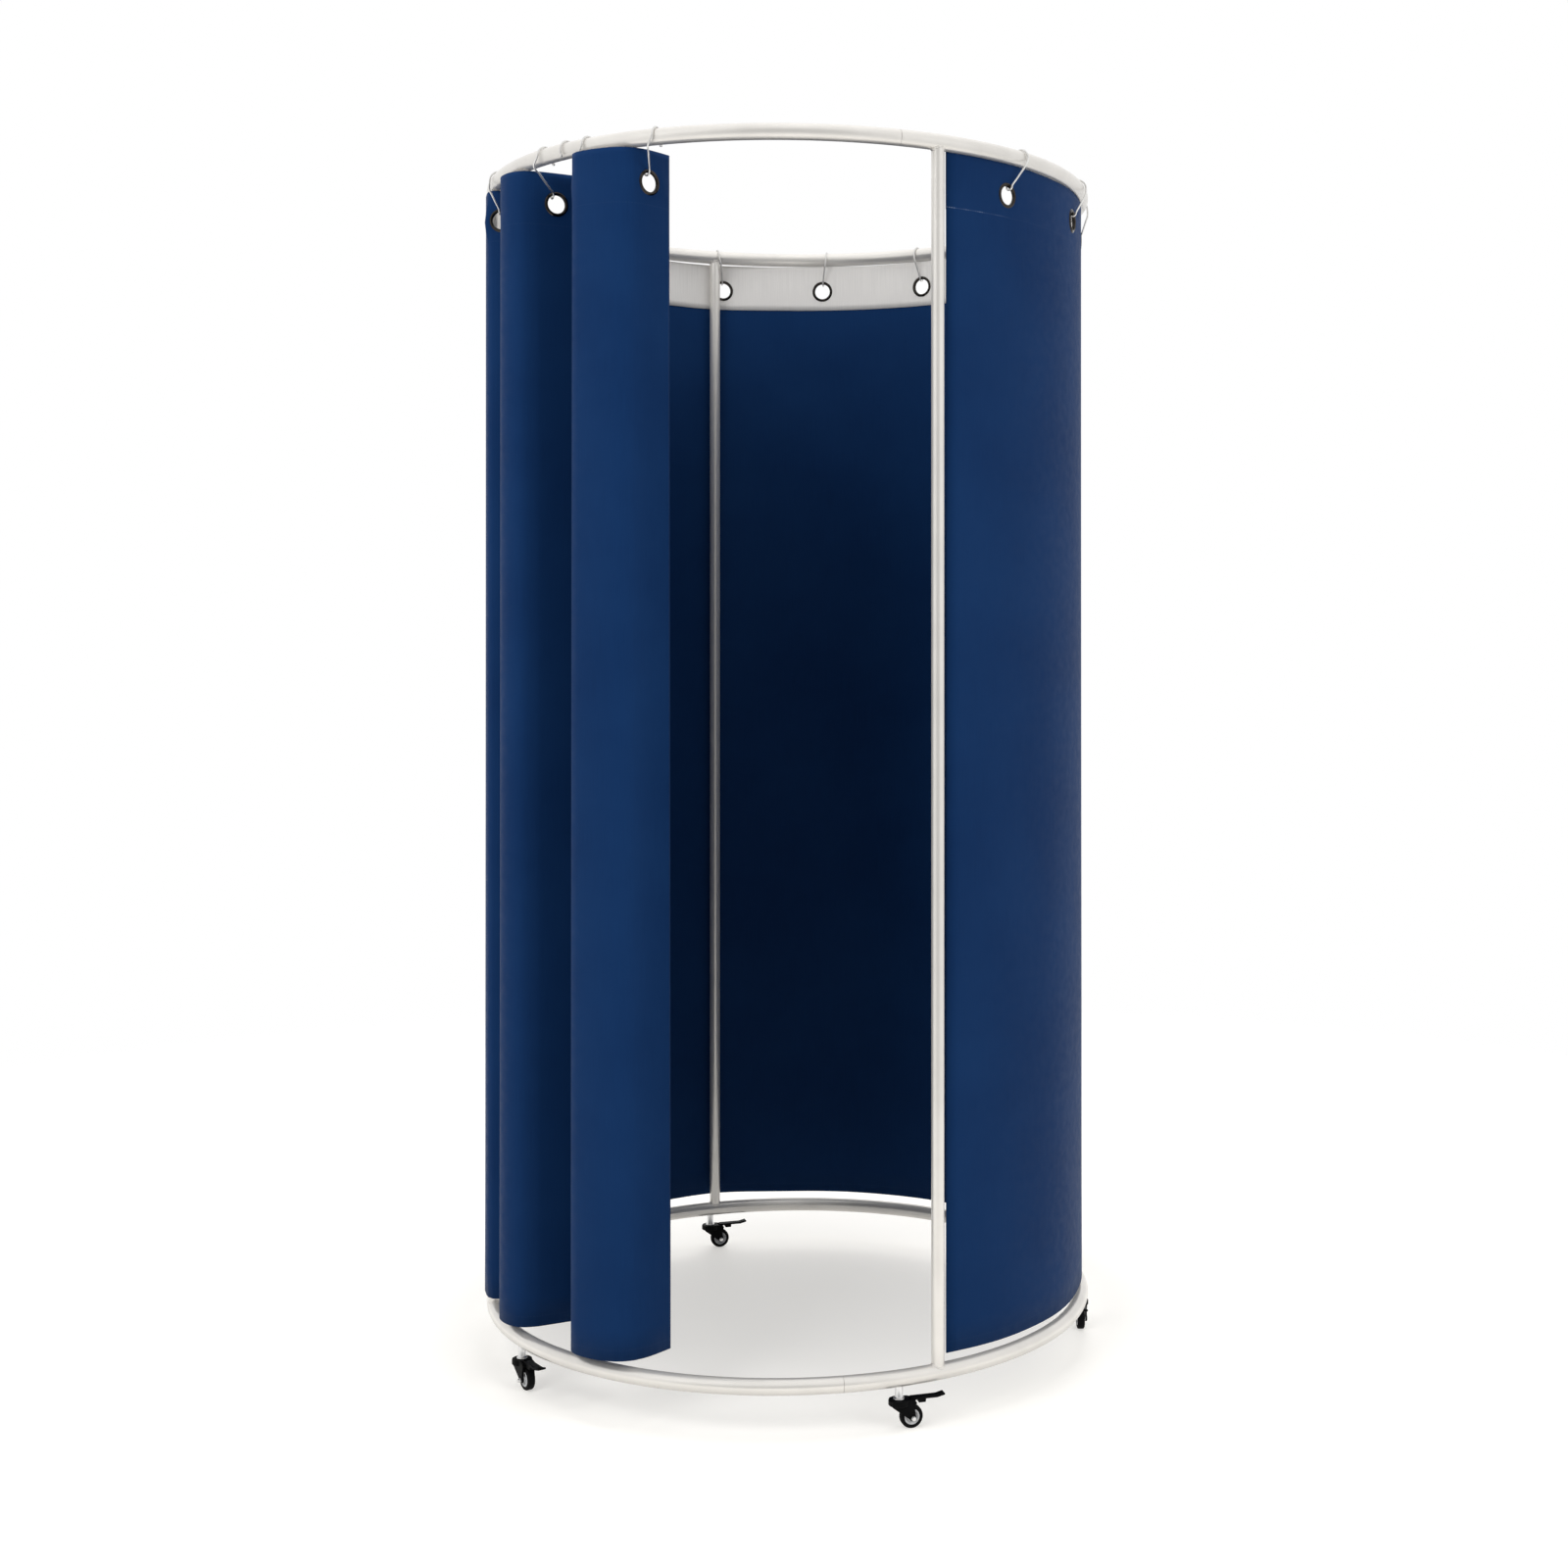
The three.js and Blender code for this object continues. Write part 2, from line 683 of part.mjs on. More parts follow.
function pedalGeometry() {
  const heel = pedalPivotForward - pedalBarrelRadius;
  const toe = pedalTipForward - pedalToeLength;
  const underside = pedalTop - pedalThickness;
  const tipTop = pedalTop + pedalToeRise;
  const stopBack = pedalStopForward - pedalStopLength;
  const plate = new THREE.Shape();
  plate.moveTo(heel, pedalTop);
  plate.lineTo(heel, pedalPivotHeight);
  plate.absarc(
    pedalPivotForward, pedalPivotHeight, pedalBarrelRadius, Math.PI, 2 * Math.PI, false,
  );
  plate.lineTo(pedalPivotForward + pedalBarrelRadius, underside);
  plate.lineTo(stopBack, underside);
  plate.lineTo(stopBack, underside - pedalStopDepth);
  plate.lineTo(pedalStopForward, underside - pedalStopDepth);
  plate.lineTo(pedalStopForward, underside);
  plate.lineTo(toe, underside);
  plate.lineTo(pedalTipForward, tipTop - pedalThickness);
  plate.lineTo(pedalTipForward, tipTop);
  plate.lineTo(toe, pedalTop);
  const [barrel, pin] = [
    [pedalBarrelRadius, 2 * (forkGap - pedalSideClearance)],
    [pedalPinRadius, 2 * cheekOutside],
  ].map(([radius, length]) => solid(
    pinAcross(radius, length, pedalPivotForward, pedalPivotHeight, pedalPinSides),
  ));
  return geometryOf(solid(standingPlate(plate, pedalWidth)).add(barrel).add(pin));
}

function stemGeometry(bearing) {
  const headTop = bridgeBottom - seatGap;
  const neckTop = ringClearanceUnder + ringTubeRadius / 2;
  const foot = planPoint(bearing, ringRadius);
  const turned = turnedOnZ([
    [0, headTop - stemHeadThickness],
    [stemHeadRadius, headTop - stemHeadThickness],
    [stemHeadRadius, headTop],
    [stemRadius, headTop],
    [stemRadius, raceBottom],
    [raceRadius, raceBottom],
    [raceRadius, raceTop],
    [neckRadius, raceTop],
    [neckRadius, neckTop],
    [0, neckTop],
  ], stemSides).translate(foot.x, foot.y, 0);
  return solid(turned).subtract(bottomSeat).add(stemStud(bearing, stemRadius, raceTop));
}

function stemStud(bearing, radius, from) {
  const foot = planPoint(bearing, ringRadius);
  return solid(turnedOnZ([
    [0, from],
    [radius, from],
    [radius, ringClearanceUnder + stemReachInRing],
    [0, ringClearanceUnder + stemReachInRing],
  ], stemSides).translate(foot.x, foot.y, 0));
}

function caster(number, { bearing, heading }) {
  const swivel = new THREE.Group();
  swivel.position.copy(planPoint(bearing, ringRadius));
  swivel.rotation.z = radians(heading);
  const name = (part) => `caster_${number}_${part}`;
  swivel.add(
    piece(name('fork'), forkGeometry(), blackNylon),
    piece(name('tyre'), tyreGeometry(), blackTyre),
    piece(name('hub'), hubGeometry(), greyHub),
    piece(name('axle'), axleGeometry(), brightSteel),
    piece(name('pedal'), pedalGeometry(), blackNylon),
  );
  const group = new THREE.Group();
  group.add(piece(name('stem'), geometryOf(stemGeometry(bearing)), brightSteel), swivel);
  return group;
}

// The whole fitting room
const fittingRoom = new THREE.Group();
const bottomSeat = ringSeat(bottomRingHeight, bottomJointBearing);
const topSeat = ringSeat(topRingHeight, topJointBearing);
const stemHoles = casterPlaces
  .map(({ bearing }) => stemStud(bearing, stemRadius + seatGap, ringClearanceUnder - cutOverrun))
  .reduce((all, hole) => all.add(hole));

fittingRoom.add(
  ringHalf('top_ring_right', topRingHeight, topJointBearing, null),
  ringHalf('top_ring_left', topRingHeight, topJointBearing - 180, null),
  ringHalf('bottom_ring_right', bottomRingHeight, bottomJointBearing, stemHoles),
  ringHalf('bottom_ring_left', bottomRingHeight, bottomJointBearing - 180, stemHoles),
  ringSpigot('top_ring_spigot_1', topRingHeight, topJointBearing),
  ringSpigot('top_ring_spigot_2', topRingHeight, topJointBearing + 180),
  ringSpigot('bottom_ring_spigot_1', bottomRingHeight, bottomJointBearing),
  ringSpigot('bottom_ring_spigot_2', bottomRingHeight, bottomJointBearing + 180),
);
for (let number = 1; number <= postCount; number += 1) fittingRoom.add(post(number));
fittingRoom.add(curtainSheet('curtain_wrap', 0), headerBand('header_band_wrap', 0));
for (const fold of [1, 2, 3]) {
  fittingRoom.add(
    curtainSheet(`curtain_fold_${fold}`, fold),
    headerBand(`header_band_fold_${fold}`, fold),
  );
}
grommets.forEach((grommet, i) => {
  fittingRoom.add(hook(`hook_${String(i + 1).padStart(2, '0')}`, grommet));
});
casterPlaces.forEach((place, i) => fittingRoom.add(caster(i + 1, place)));

export default fittingRoom;
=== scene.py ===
"""Looks of the portable round fitting room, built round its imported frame.

Metres, +Z up, and the doorway faces -Y. A bearing is an angle in plan from -Y, positive
towards +X, in degrees. A place is a position along the curtain's route, counted in its points.
"""
from math import atan2, cos, hypot, pi, radians, sin, sqrt

import bmesh
import bpy
import numpy as np
from mathutils import Matrix, Vector

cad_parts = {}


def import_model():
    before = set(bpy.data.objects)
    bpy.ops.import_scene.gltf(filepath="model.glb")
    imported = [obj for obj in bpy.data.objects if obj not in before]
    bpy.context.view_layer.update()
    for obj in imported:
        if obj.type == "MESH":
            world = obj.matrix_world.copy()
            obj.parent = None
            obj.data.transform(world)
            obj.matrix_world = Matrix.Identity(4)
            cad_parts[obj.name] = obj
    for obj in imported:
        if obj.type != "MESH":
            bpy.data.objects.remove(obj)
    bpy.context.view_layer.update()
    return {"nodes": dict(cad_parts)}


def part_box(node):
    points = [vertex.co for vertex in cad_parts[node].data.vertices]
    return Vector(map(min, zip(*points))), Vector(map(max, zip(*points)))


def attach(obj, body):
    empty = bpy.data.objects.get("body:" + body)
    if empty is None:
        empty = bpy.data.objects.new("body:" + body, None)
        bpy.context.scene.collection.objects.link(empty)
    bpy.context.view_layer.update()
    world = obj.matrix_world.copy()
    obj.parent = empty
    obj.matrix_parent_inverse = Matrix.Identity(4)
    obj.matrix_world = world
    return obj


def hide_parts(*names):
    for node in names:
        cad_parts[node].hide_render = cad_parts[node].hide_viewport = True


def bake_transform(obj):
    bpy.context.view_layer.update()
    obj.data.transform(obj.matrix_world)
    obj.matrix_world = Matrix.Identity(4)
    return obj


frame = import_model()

# Rings and posts
RING_RADIUS = 0.5
RING_TUBE = 0.0125
RING_STEP = 1.5
RING_SIDES = 28
TOP_JOINT = 22.0
BOTTOM_JOINT = 12.0
JOINT_GAP = 0.0003
POST_RADIUS = 0.010
POST_WALL = 0.0012
POST_SIDES = 40
FIRST_POST = 29.5
POST_STEP = 85.2
POST_COUNT = 4
POST_END_DEPTH = 0.006
WELD_RADIUS = 0.0014
WELD_POINTS = 48
WELD_SIDES = 8

# Curtain
CLOTH_THICKNESS = 0.0016
BAND_THICKNESS = 0.0008
BAND_HEIGHT = 0.086
BAND_GAP = 0.0003
POST_BULGE = 0.014
BULGE_ANGLE = 9.0
CURTAIN_END_GAP = 0.0148
WRAP_STEP = 5.0
GATHER_SHARES = (
    (-22.0, 0.874), (-22.7, 0.920), (-23.4, 0.960), (-24.6, 1.003), (-26.6, 1.034),
    (-29.4, 1.050), (-32.6, 1.054), (-35.4, 1.048), (-37.2, 1.026), (-38.1, 0.990),
    (-37.9, 0.950), (-37.6, 0.905), (-37.8, 0.855), (-38.4, 0.805), (-39.6, 0.772),
    (-41.2, 0.770), (-42.0, 0.800), (-42.1, 0.845), (-42.0, 0.885), (-42.4, 0.912),
    (-43.4, 0.922), (-44.4, 0.910), (-44.9, 0.880), (-45.3, 0.845), (-46.0, 0.812),
    (-47.3, 0.795), (-48.8, 0.805), (-49.8, 0.840), (-50.5, 0.885), (-51.1, 0.935),
    (-51.7, 0.982), (-52.9, 1.020), (-55.0, 1.040), (-57.8, 1.044), (-60.2, 1.034),
    (-62.0, 1.008), (-63.6, 0.975), (-65.6, 0.945), (-67.6, 0.936), (-69.2, 0.954),
    (-70.1, 0.989), (-71.0, 1.020),
)
SPLIT_PLACES = (0.0, 8.6, 16.2, 27.3)
SAMPLES_PER_PLACE = 24
GATHER_COLUMNS_PER_PLACE = 5
WRAP_COLUMNS_PER_PLACE = 2
ROW_HEIGHT = 0.045
TOP_ROW_DROP = 0.008
ROW_CLEARANCE = 0.0025
COLUMN_CLEARANCE = 0.002

# How the cloth hangs
SWAY_LONG = 0.0026
SWAY_LONG_PITCH = 0.47
SWAY_LONG_PHASE = 0.6
SWAY_SHORT = 0.0011
SWAY_SHORT_PITCH = 0.19
SWAY_SHORT_TWIST = 3
TOP_SAG = 0.001
SAG_START = 0.02

# Grommets
GROMMET_HOLE = 0.0145
GROMMET_DROP = 0.049
GROMMET_SIDES = 48
GROMMET_SHARP_ANGLE = 60.0
GROMMET_PATCH = 0.026
CLOTH_HOLE = 0.0168
FLAT_RADIUS = 0.022
FLAT_FADE = 0.046
PATCH_STEPS = 4
PATCH_RING_SHARE = 0.84
# Steps out from the hole, with heights over the cloth outside and under the band inside
GROMMET_RIM = ((0.0, 0.0006), (0.0012, 0.0017), (0.0030, 0.0020), (0.0028, 0.0013),
               (0.0044, 0.0008), (0.0050, 0.0001), (0.0042, -0.0004), (0.0018, -0.0002))
GROMMET_WASHER = ((0.0018, -0.0002), (0.0042, -0.0002), (0.0050, 0.0004), (0.0040, 0.0012),
                  (0.0022, 0.0016), (0.0008, 0.0013), (0.0, 0.0006))

# Hooks
WIRE_RADIUS = 0.0015
WIRE_SIDES = 12
HOOK_SIDE_CLEARANCE = 0.002
HOOK_LIFT = 0.0035
HOOK_BEND = 0.006
HOOK_TIP = 0.026
HOOK_BALL = 0.0025
HOOK_SMOOTHNESS = 8
HOOK_STEP = 30
LOOP_START = 210
SHANK_SHARES = (0.3, 0.7)
RISE_SHARES = (0.35, 0.7, 1.0)
SEAT_GAP = 0.0003

# Fold, place, hook's bearing, side of the ring that the shank hangs on, side of the cloth
# that it faces: +1 is outside
GATHER_GROMMETS = (
    (1, 1.95, -20.5, 1, 1),
    (2, 10.0, -34.8, 1, -1),
    (3, 17.1, -40.0, -1, 1),
    (0, 28.6, -46.3, 1, 1),
    (0, 40.0, -68.5, 1, 1),
)
# Bearing of the grommet, bearing of the hook, side that the shank hangs on
WRAP_GROMMETS = (
    (-91.7, -92.5, 1), (-115.3, -114.6, 1), (-138.8, -139.4, -1), (-162.3, -160.6, -1),
    (-184.5, -185.5, -1), (-208.0, -206.9, -1), (-228.3, -227.4, -1), (-248.6, -250.2, 1),
    (-268.9, -267.6, 1), (-289.2, -284.6, 1), (-314.7, -311.0, 1),
)

# Cloth and stitches; UNWORN is a length past the cloth's end, for a row that isn't worn pale
THREAD = 0.0007
LINING_THREAD = 0.0006
SLUB_SCALE = (900.0, 14.0, 1.0)
STITCH_PITCH = 0.0045
STITCH_SHARE = 0.68
STITCH_SHOWS = 0.04
WEAR_REACH = (0.05, 0.13)
WEAR_SCALE = 60.0
WEAR_NOISE = (0.42, 0.58)
WEAR_LEAST = 0.2
UNWORN = 100.0
CLOTH_MARKS = 5.0
CLOTH_GRAIN = 60.0
CLOTH_ROUGHER = (-0.05, 0.06)
SLUB_PALER = 1.5
SLUB_MOST = 0.16
WEAVE_SHARE = 0.6
WEAVE_DEPTH = 0.0002
CREASE_DEPTH = 0.006
BAND_STITCH_LIFT = 0.003
HEM_STITCH_LIFT = 0.016
TOP_STITCH_DROP = 0.004

# Finishes of metal and plastic: the grain's scale and strength, the part of the marks' range
# that changes the roughness, the part that ages the colour, and the most that it is aged
METAL_FINISH = (1400.0, 0.25, (0.35, 0.75), (0.4, 0.7), 0.5)
PLASTIC_FINISH = (1800.0, 0.4, (0.3, 0.7), (0.45, 0.75), 0.6)
METAL_AGED = 0.86
METAL_GRAIN = 0.000003
PLASTIC_DUST = (1.4, 0.001)
PLASTIC_MARKS = 0.12
PLASTIC_SPREAD = 70.0
PLASTIC_GRAIN = 0.00006
TYRE_GRAIN = 0.0001

# Casters: bearing of the stem, heading of the wheel anticlockwise from +X
CASTERS = ((22.0, 17.0), (91.0, -88.0), (201.0, 18.0), (-55.0, -54.0))
WHEEL_RADIUS = 0.0175
TYRE_WIDTH = 0.0125
TYRE_SHOULDER = 0.003
TYRE_BEAD = (0.0007, 0.0006)
TYRE_SIDES = 72
HUB_RADIUS = 0.0119
HUB_WIDTH = 0.0155
HUB_INSET = 0.0002
HUB_BOSS = 0.005
HUB_CHAMFER = 0.0004
CASTER_TRAIL = 0.019
AXLE_RADIUS = 0.003
AXLE_END_RADIUS = 0.004
AXLE_SIDES = 24
NUT_LENGTH = 0.0035
THREAD_LENGTH = 0.0025
THREAD_CHAMFER = 0.0008
FORK_INSIDE = 0.00855
FORK_OUTSIDE = 0.01105
FORK_TOP = 0.0448
FORK_UNDERSIDE = 0.0358
FORK_HEAD = 0.016
FORK_BOSS = 0.0052
FORK_WAIST = 0.0222
FORK_BACK = 0.013
FORK_CORNER = 0.003
FORK_EDGE = 0.001
FORK_HEAD_EDGE = 0.0022
FORK_BORE = 0.0045
FORK_LAP = 0.0004
FORK_CORNER_LIFT = 0.00156
FORK_STEP = 0.0002
BRIDGE_SLOPE = (0.0018, 0.0003)
STEM_SHANK = 0.004
STEM_HEAD = 0.006
STEM_HEAD_HEIGHT = 0.0025
STEM_HEAD_CHAMFER = 0.0008
STEM_SEAT = 0.0013
NECK_RADIUS = 0.006
RACE_RADIUS = 0.0085
RACE_TOP = 0.0473
RACE_FOOT = ((0.0003, 0.0), (0.0, 0.0005))
RACE_SHOULDER = ((0.0002, 0.0009), (0.0012, 0.0001))
NECK_FOOT = ((0.0006, 0.0003), (0.0, 0.0012))
PIVOT = (0.02128, 0.03918)
PIVOT_EAR = 0.0038
PIVOT_PIN = 0.0018
BARREL_RADIUS = 0.0032
BARREL_HALF_LENGTH = 0.00775
BARREL_GAP = 0.0001
PEDAL_TIP = 0.071
PEDAL_TOE = 0.059
PEDAL_TOP = 0.0458
PEDAL_THICKNESS = 0.003
PEDAL_TOE_RISE = 0.0025
PEDAL_HALF_WIDTH = 0.0065
PEDAL_HEEL = 0.0015
PEDAL_EDGE = 0.0012
STOP_SPAN = (0.034, 0.041)
STOP_DEPTH = 0.005
STOP_RAMP = (0.006, 0.0052)
STOP_EDGES = (0.0018, 0.0012, 0.0004)
RIB_COUNT = 5
RIB_PITCH = 0.0019
RIB_INSET = 0.0022
RIB_ROOT = (0.0005, 0.0008)
RIB_CREST = (0.0003, 0.0005)
RIB_SHORTER = 0.001
MOULDED_EDGE = 0.0005
RUNNING_GAP = 0.0003

# Turned solids: their sides, how far they stay off their own axis, and the angle in degrees
# from which an edge is sharp
LATHE_SIDES = 48
CORE = 0.0002
SHARP_ANGLE = 35.0

# Radius and depth of each turn: the hub's face under its rim, the axle's dome over the fork
HUB_FACE = ((0.0053, 0.0016), (0.0080, 0.0024), (0.0088, 0.0004), (0.0094, 0.0),
            (0.0112, 0.0), (0.0118, 0.0006))
AXLE_DOME = ((CORE, 0.0015), (0.0020, 0.0013), (0.0034, 0.0008))
# The nut's rings of corners: their share of its size, and their step up from its seat or top
NUT_CORNERS = ((0.93, 0.0), (1.0, 0.0004), (1.0, -0.0005), (0.9, 0.0))

# Camera, in the photograph's frame of 1600 by 1600
PHOTO_SIDE = 1600
FOCAL_PIXELS = 2082
CENTRE_COLUMN = 912
HORIZON_ROW = 664.7
EYE = (0.1796, -3.521, 1.1645)
SENSOR = 36.0

# Studio
FLOOR_COLOUR = (0.62, 0.61, 0.59, 1.0)
FLOOR_SIDES = 96
FLOOR_RADIUS = 3.2
FLOOR_FADE = 1.5
# Painted light: the floor glows for the camera, metal and glass, weaker near the middle of the
# ring and stronger away from it, with a warm tint; inside the ring the glow stands in for light
# falling in through the open top
FLOOR_REAR = 0.16
FLOOR_INSIDE = 0.58
FLOOR_OUTSIDE = 0.95
FLOOR_PAINTED_LIGHT = (0.46, 0.82)
FLOOR_TINT = (1.0, 0.98, 0.94, 1.0)
WORLD_LIGHT = 0.55
WORLD_SHADE = 0.34
WORLD_SHADE_SPAN = (-1.0, -0.7)
# Name, place, point that it is aimed at, side and power of each lamp
LAMPS = (
    ("Key", (-2.4, -3.2, 3.0), (0, 0, 1.0), 2.6, 90),
    ("Fill", (3.2, -2.6, 2.2), (0, 0, 1.0), 2.4, 52),
    ("Top", (0.2, 0.2, 4.2), (0, 0, 0), 2.2, 50),
    ("Rear", (0.4, 3.6, 2.6), (0, 0, 1.0), 2.4, 40),
)

nodes = frame["nodes"]
top_low, top_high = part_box("top_ring_right")
bottom_low, bottom_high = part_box("bottom_ring_right")
TOP_RING_Z = (top_low[2] + top_high[2]) / 2
BOTTOM_RING_Z = (bottom_low[2] + bottom_high[2]) / 2
CLOTH_BOTTOM, CLOTH_TOP = (corner[2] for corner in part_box("curtain_wrap"))
GROMMET_Z = CLOTH_TOP - GROMMET_DROP
BAND_INSET = CLOTH_THICKNESS / 2 + BAND_GAP + BAND_THICKNESS / 2


# Node trees
def add(tree, kind, inputs=None, **settings):
    """A new node, with its settings made and its inputs joined or filled."""
    node = tree.nodes.new(kind)
    for key, value in settings.items():
        setattr(node, key, value)
    for key, value in (inputs or {}).items():
        if isinstance(value, bpy.types.NodeSocket):
            tree.links.new(value, node.inputs[key])
        else:
            node.inputs[key].default_value = value
    return node


def calc(tree, operation, a, b=0.0):
    return add(tree, "ShaderNodeMath", {0: a, 1: b}, operation=operation).outputs[0]


def fit(tree, value, low, high, to_low=0.0, to_high=1.0):
    """value mapped from one range to another, and kept inside it."""
    inputs = {"Value": value, "From Min": low, "From Max": high, "To Min": to_low,
              "To Max": to_high}
    return add(tree, "ShaderNodeMapRange", inputs).outputs["Result"]


def blend_colours(tree, factor, a, b):
    return add(tree, "ShaderNodeMix", {0: factor, 6: a, 7: b}, data_type="RGBA").outputs[2]


def new_group(name, inputs, outputs):
    """(group, its input node, its output node), with values for the inputs that have any."""
    tree = bpy.data.node_groups.new(name, "ShaderNodeTree")
    for label, kind, default in inputs:
        socket = tree.interface.new_socket(label, in_out="INPUT", socket_type=kind)
        if default is not None:
            socket.default_value = default
    for label in outputs:
        tree.interface.new_socket(label, in_out="OUTPUT", socket_type="NodeSocketFloat")
    return tree, tree.nodes.new("NodeGroupInput"), tree.nodes.new("NodeGroupOutput")


def weave_group():
    """Plain weave from a position in metres on the cloth."""
    tree, given, result = new_group(
        "Plain weave",
        [("Position", "NodeSocketVector", None), ("Thread", "NodeSocketFloat", None)],
        ["Height", "Slub"],
    )
    apart = add(tree, "ShaderNodeSeparateXYZ", {0: given.outputs["Position"]})
    waves = []
    for axis in ("X", "Y"):
        turns = calc(tree, "DIVIDE", apart.outputs[axis], given.outputs["Thread"])
        waves.append(calc(tree, "SINE", calc(tree, "MULTIPLY", turns, pi)))
    crossing = calc(tree, "MULTIPLY", *waves)
    tree.links.new(fit(tree, crossing, -1.0, 1.0), result.inputs["Height"])
    stretched = add(tree, "ShaderNodeMapping", {"Vector": given.outputs["Position"],
                                                "Scale": SLUB_SCALE})
    slub = add(tree, "ShaderNodeTexNoise", {"Vector": stretched.outputs[0], "Scale": 1.0,
                                            "Detail": 2.0})
    tree.links.new(slub.outputs[0], result.inputs["Slub"])
    return tree


def stitch_group():
    """A row of stitches at a height on the cloth: 1 on the thread, 0 off it."""
    tree, given, result = new_group(
        "Stitch row",
        [("Position", "NodeSocketVector", None), ("Row", "NodeSocketFloat", 0.0),
         ("Pitch", "NodeSocketFloat", STITCH_PITCH), ("Thread", "NodeSocketFloat", THREAD),
         ("Worn", "NodeSocketFloat", UNWORN)],
        ["Mask"],
    )
    apart = add(tree, "ShaderNodeSeparateXYZ", {0: given.outputs["Position"]})
    patchy = add(tree, "ShaderNodeTexNoise", {"Vector": given.outputs["Position"],
                                              "Scale": WEAR_SCALE, "Detail": 1.0})
    away = calc(tree, "SUBTRACT", given.outputs["Worn"], apart.outputs["X"])
    worn = calc(tree, "MULTIPLY", fit(tree, away, *WEAR_REACH, 1.0, 0.0),
                fit(tree, patchy.outputs[0], *WEAR_NOISE, WEAR_LEAST, 1.0))
    seen = calc(tree, "ADD", worn, STITCH_SHOWS)
    off = calc(tree, "ABSOLUTE", calc(tree, "SUBTRACT", apart.outputs["Y"],
                                      given.outputs["Row"]))
    on_row = calc(tree, "LESS_THAN", off, given.outputs["Thread"])
    along = calc(tree, "FRACT", calc(tree, "DIVIDE", apart.outputs["X"],
                                     given.outputs["Pitch"]))
    on_stitch = calc(tree, "LESS_THAN", along, STITCH_SHARE)
    mask = calc(tree, "MULTIPLY", calc(tree, "MULTIPLY", on_row, on_stitch), seen)
    tree.links.new(mask, result.inputs["Mask"])
    return tree


def grain_group():
    """Uneven handling marks and fine grain from a position in metres."""
    tree, given, result = new_group(
        "Marks and grain",
        [("Position", "NodeSocketVector", None), ("Marks", "NodeSocketFloat", None),
         ("Grain", "NodeSocketFloat", None)],
        ["Marks", "Grain"],
    )
    for label, detail in (("Marks", 5.0), ("Grain", 2.0)):
        noise = add(tree, "ShaderNodeTexNoise", {
            "Vector": given.outputs["Position"], "Scale": given.outputs[label],
            "Detail": detail})
        tree.links.new(noise.outputs[0], result.inputs[label])
    return tree


WEAVE = weave_group()
STITCH = stitch_group()
GRAIN = grain_group()


def use_group(tree, group, **inputs):
    return add(tree, "ShaderNodeGroup", inputs, node_tree=group).outputs


def new_material(name, **settings):
    """(material, its tree, its shader), with the shader's plain values set."""
    made = bpy.data.materials.new(name)
    made.use_nodes = True
    tree = made.node_tree
    shader = tree.nodes["Principled BSDF"]
    for key, value in settings.items():
        shader.inputs[key.replace("_", " ")].default_value = value
    return made, tree, shader


def hard_surface(name, colour, aged, roughness, marks, spread, grain, finish, **settings):
    """Metal or plastic: the marks age its colour and change its roughness."""
    scale, strength, rough_part, aged_part, most = finish
    made, tree, shader = new_material(name, Base_Color=(*colour, 1.0), **settings)
    place = tree.nodes.new("ShaderNodeTexCoord").outputs["Object"]
    found = use_group(tree, GRAIN, Position=place, Marks=spread, Grain=scale)
    rough = fit(tree, found["Marks"], *rough_part, roughness, roughness + marks)
    tint = blend_colours(tree, fit(tree, found["Marks"], *aged_part, 0.0, most),
                         (*colour, 1.0), (*aged, 1.0))
    bump = add(tree, "ShaderNodeBump", {"Height": found["Grain"], "Strength": strength,
                                        "Distance": grain})
    for key, value in (("Roughness", rough), ("Base Color", tint), ("Normal", bump.outputs[0])):
        tree.links.new(value, shader.inputs[key])
    return made


def metal(name, colour, roughness, marks, spread, metallic=1.0):
    aged = tuple(METAL_AGED * part for part in colour)
    return hard_surface(name, colour, aged, roughness, marks, spread, METAL_GRAIN,
                        METAL_FINISH, Metallic=metallic)


def plastic(name, colour, roughness, specular, grain=PLASTIC_GRAIN):
    times, more = PLASTIC_DUST
    dusty = tuple(min(1.0, part * times + more) for part in colour)
    return hard_surface(name, colour, dusty, roughness, PLASTIC_MARKS, PLASTIC_SPREAD, grain,
                        PLASTIC_FINISH, Specular_IOR_Level=specular)


